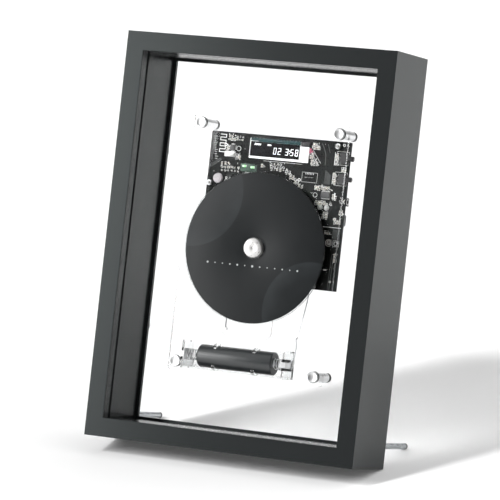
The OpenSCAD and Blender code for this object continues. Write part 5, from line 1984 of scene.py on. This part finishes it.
@dataclass
class Studio:
    """Camera, floor, lamps and the white surroundings.

    Attributes:
        aim: point that the camera and the soft box look at, in metres.
        azimuth: degrees that the camera stands to the right of the front.
        elevation: degrees that it looks down.
        distance: distance of the camera, in metres.
        lens_mm: focal length on a 36 mm sensor.
        ambient: strength of the surroundings' light from the near left and the far right.
        ambient_way: direction in which that light grows stronger.
        gloss_depth: strength that reflections see in front and behind.
        gloss_sides: share that they see of it on the left and on the right.
        white: strength of the white that the camera sees.
        floor_white: paleness that the floor shows to the camera on top of its lit colour.
        floor_size: width of the floor, in metres.
        sun_strength: strength of the key light.
        suns: its lamps' share of the strength, elevation and width, in degrees.
        sun_azimuth: degrees that it stands to the right of the front.
        box_way: degrees that the soft box stands to the right of the front, and up.
        box_distance: distance of the soft box, in metres.
        box_size: width and height of the soft box, in metres.
        box_strength: power of the soft box, in watts.
    """

    aim: Point = (-0.0027, -0.0032, 0.1616)
    azimuth: float = 25.22
    elevation: float = 12.82
    distance: float = 2.7335
    lens_mm: float = 252.04
    ambient: Spot = (0.02, 1.28)
    ambient_way: Point = (0.86, 0.51, 0.0)
    gloss_depth: Spot = (0.15, 0.78)
    gloss_sides: Spot = (1.4, 0.36)
    white: float = 1.04
    floor_white: float = 0.07
    floor_size: float = 14.0
    sun_strength: float = 3.3
    sun_azimuth: float = -28.0
    suns: tuple[Point, ...] = ((0.4, 44.0, 6.0), (0.25, 36.0, 9.0), (0.35, 27.0, 13.0))
    box_way: Spot = (-46.0, 12.0)
    box_distance: float = 0.8
    box_size: Spot = (0.43, 0.6)
    box_strength: float = 3.45

    def build(self) -> None:
        """Sets up the whole studio."""
        self.camera()
        self.floor()
        self.lamps()
        self.surroundings()
        bpy.context.scene.view_settings.view_transform = "Standard"

    def stand(self, name: str, data: bpy.types.ID, azimuth: float, elevation: float,
              distance: float) -> Piece:
        """Stands a camera or lamp around the object and turns it to the aim.

        Args:
            name: name of the new object.
            data: the camera or light.
            azimuth: degrees that it stands to the right of the front.
            elevation: degrees that it stands up.
            distance: distance from the aim, in metres.

        Returns:
            The new object.
        """
        turn, rise = math.radians(azimuth), math.radians(elevation)
        out = Vector((math.sin(turn) * math.cos(rise), -math.cos(turn) * math.cos(rise),
                      math.sin(rise)))
        made = bpy.data.objects.new(name, data)
        made.location = Vector(self.aim) + out * distance
        made.rotation_euler = (-out).to_track_quat("-Z", "Y").to_euler()
        bpy.context.collection.objects.link(made)
        return made

    def camera(self) -> None:
        """Stands the camera where the photograph was taken."""
        data = bpy.data.cameras.new("photo_camera")
        data.lens, data.sensor_width, data.clip_end = self.lens_mm, 36.0, 50.0
        bpy.context.scene.camera = self.stand("photo_camera", data, self.azimuth, self.elevation,
                                              self.distance)

    def floor(self) -> None:
        """Lays the pale floor, which the camera sees as white around the shadow."""
        Bench.clear()
        bpy.ops.mesh.primitive_plane_add(size=self.floor_size, location=(0, 0, 0))
        floor = bpy.context.object
        floor.name = "studio_floor"
        graph = Graph(bpy.data.materials.new("studio_floor"))
        paper = graph.node("TexNoise", {"Vector": graph.node("TexCoord").outputs["Object"],
                                        "Scale": 3.0})
        tint = graph.mix(graph.spread(paper.outputs[0], 0, 1), (0.97, 0.97, 0.97),
                         (0.985, 0.985, 0.985))
        rays = graph.node("LightPath").outputs
        seen = graph.maths("MAXIMUM", rays["Is Camera Ray"], graph.maths(
            "MAXIMUM", rays["Is Glossy Ray"], rays["Is Transmission Ray"]))
        pale = graph.node("Emission", {
            "Color": tint, "Strength": graph.maths("MULTIPLY", seen, self.floor_white)})
        matt = graph.node("BsdfDiffuse", {"Color": tint})
        both = graph.node("AddShader", {0: matt.outputs[0], 1: pale.outputs[0]})
        floor.data.materials.append(graph.surface(both.outputs[0]))

    def lamps(self) -> None:
        """Adds the lamps of the wide key light, and the soft box at the front left."""
        for share, elevation, width in self.suns:
            sun = bpy.data.lights.new("key_light", "SUN")
            sun.energy, sun.angle = self.sun_strength * share, math.radians(width)
            key = self.stand("key_light", sun, self.sun_azimuth, elevation, 0)
            key.visible_glossy = False
        area = bpy.data.lights.new("left_soft_box", "AREA")
        area.shape, (area.size, area.size_y) = "RECTANGLE", self.box_size
        area.energy = self.box_strength
        box = self.stand("left_soft_box", area, *self.box_way, self.box_distance)
        box.visible_diffuse = False

    def surroundings(self) -> None:
        """Makes the world: white to the camera, softer in front for reflections."""
        graph = Graph(bpy.data.worlds.new("studio_world"))

        def shade(strength: object) -> bpy.types.Node:
            """White light of a strength."""
            return graph.node("Background", {"Color": (1, 1, 1), "Strength": strength})

        rays = graph.node("LightPath").outputs
        way = graph.node("TexCoord").outputs["Generated"]
        split = graph.node("SeparateXYZ", {0: way}).outputs
        right_back = graph.node("VectorMath", {0: way, 1: self.ambient_way},
                                operation="DOT_PRODUCT").outputs["Value"]
        ambient = shade(graph.spread(right_back, *self.ambient, -0.3, 0.7))
        gloss = shade(graph.maths("MULTIPLY",
                                  graph.spread(split["Y"], *self.gloss_depth, -0.85, -0.35),
                                  graph.spread(split["X"], *self.gloss_sides, -0.3, 0.3)))
        bounces = rays["Glossy Depth"]
        lit = graph.blended(graph.maths("GREATER_THAN", bounces, 0.5), ambient, gloss)
        seen = graph.maths("MAXIMUM", rays["Is Camera Ray"], rays["Is Transmission Ray"])
        direct = graph.node("Math", {0: seen, 1: bounces}, operation="SUBTRACT", use_clamp=True)
        last = graph.blended(direct.outputs[0], lit, shade(self.white))
        bpy.context.scene.world = graph.surface(last.outputs[0])


def main() -> None:
    """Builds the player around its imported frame."""
    logging.basicConfig(level=logging.INFO, format="%(name)s: %(message)s")
    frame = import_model()
    placement = Placement.from_spindle(frame["joints"])
    Graph.placement = placement
    Studio().build()
    bench = Bench(placement)
    for assembly in (PictureFrame, ClearSheets, Standoffs, CircuitBoard, Display,
                     SideControls, DiscSet, BatteryPack, Drive, Pegs, RearFittings):
        assembly(bench, frame["nodes"]).build()
    LOG.info("%d pieces in all", bench.count)


if __name__ == "__main__":
    main()
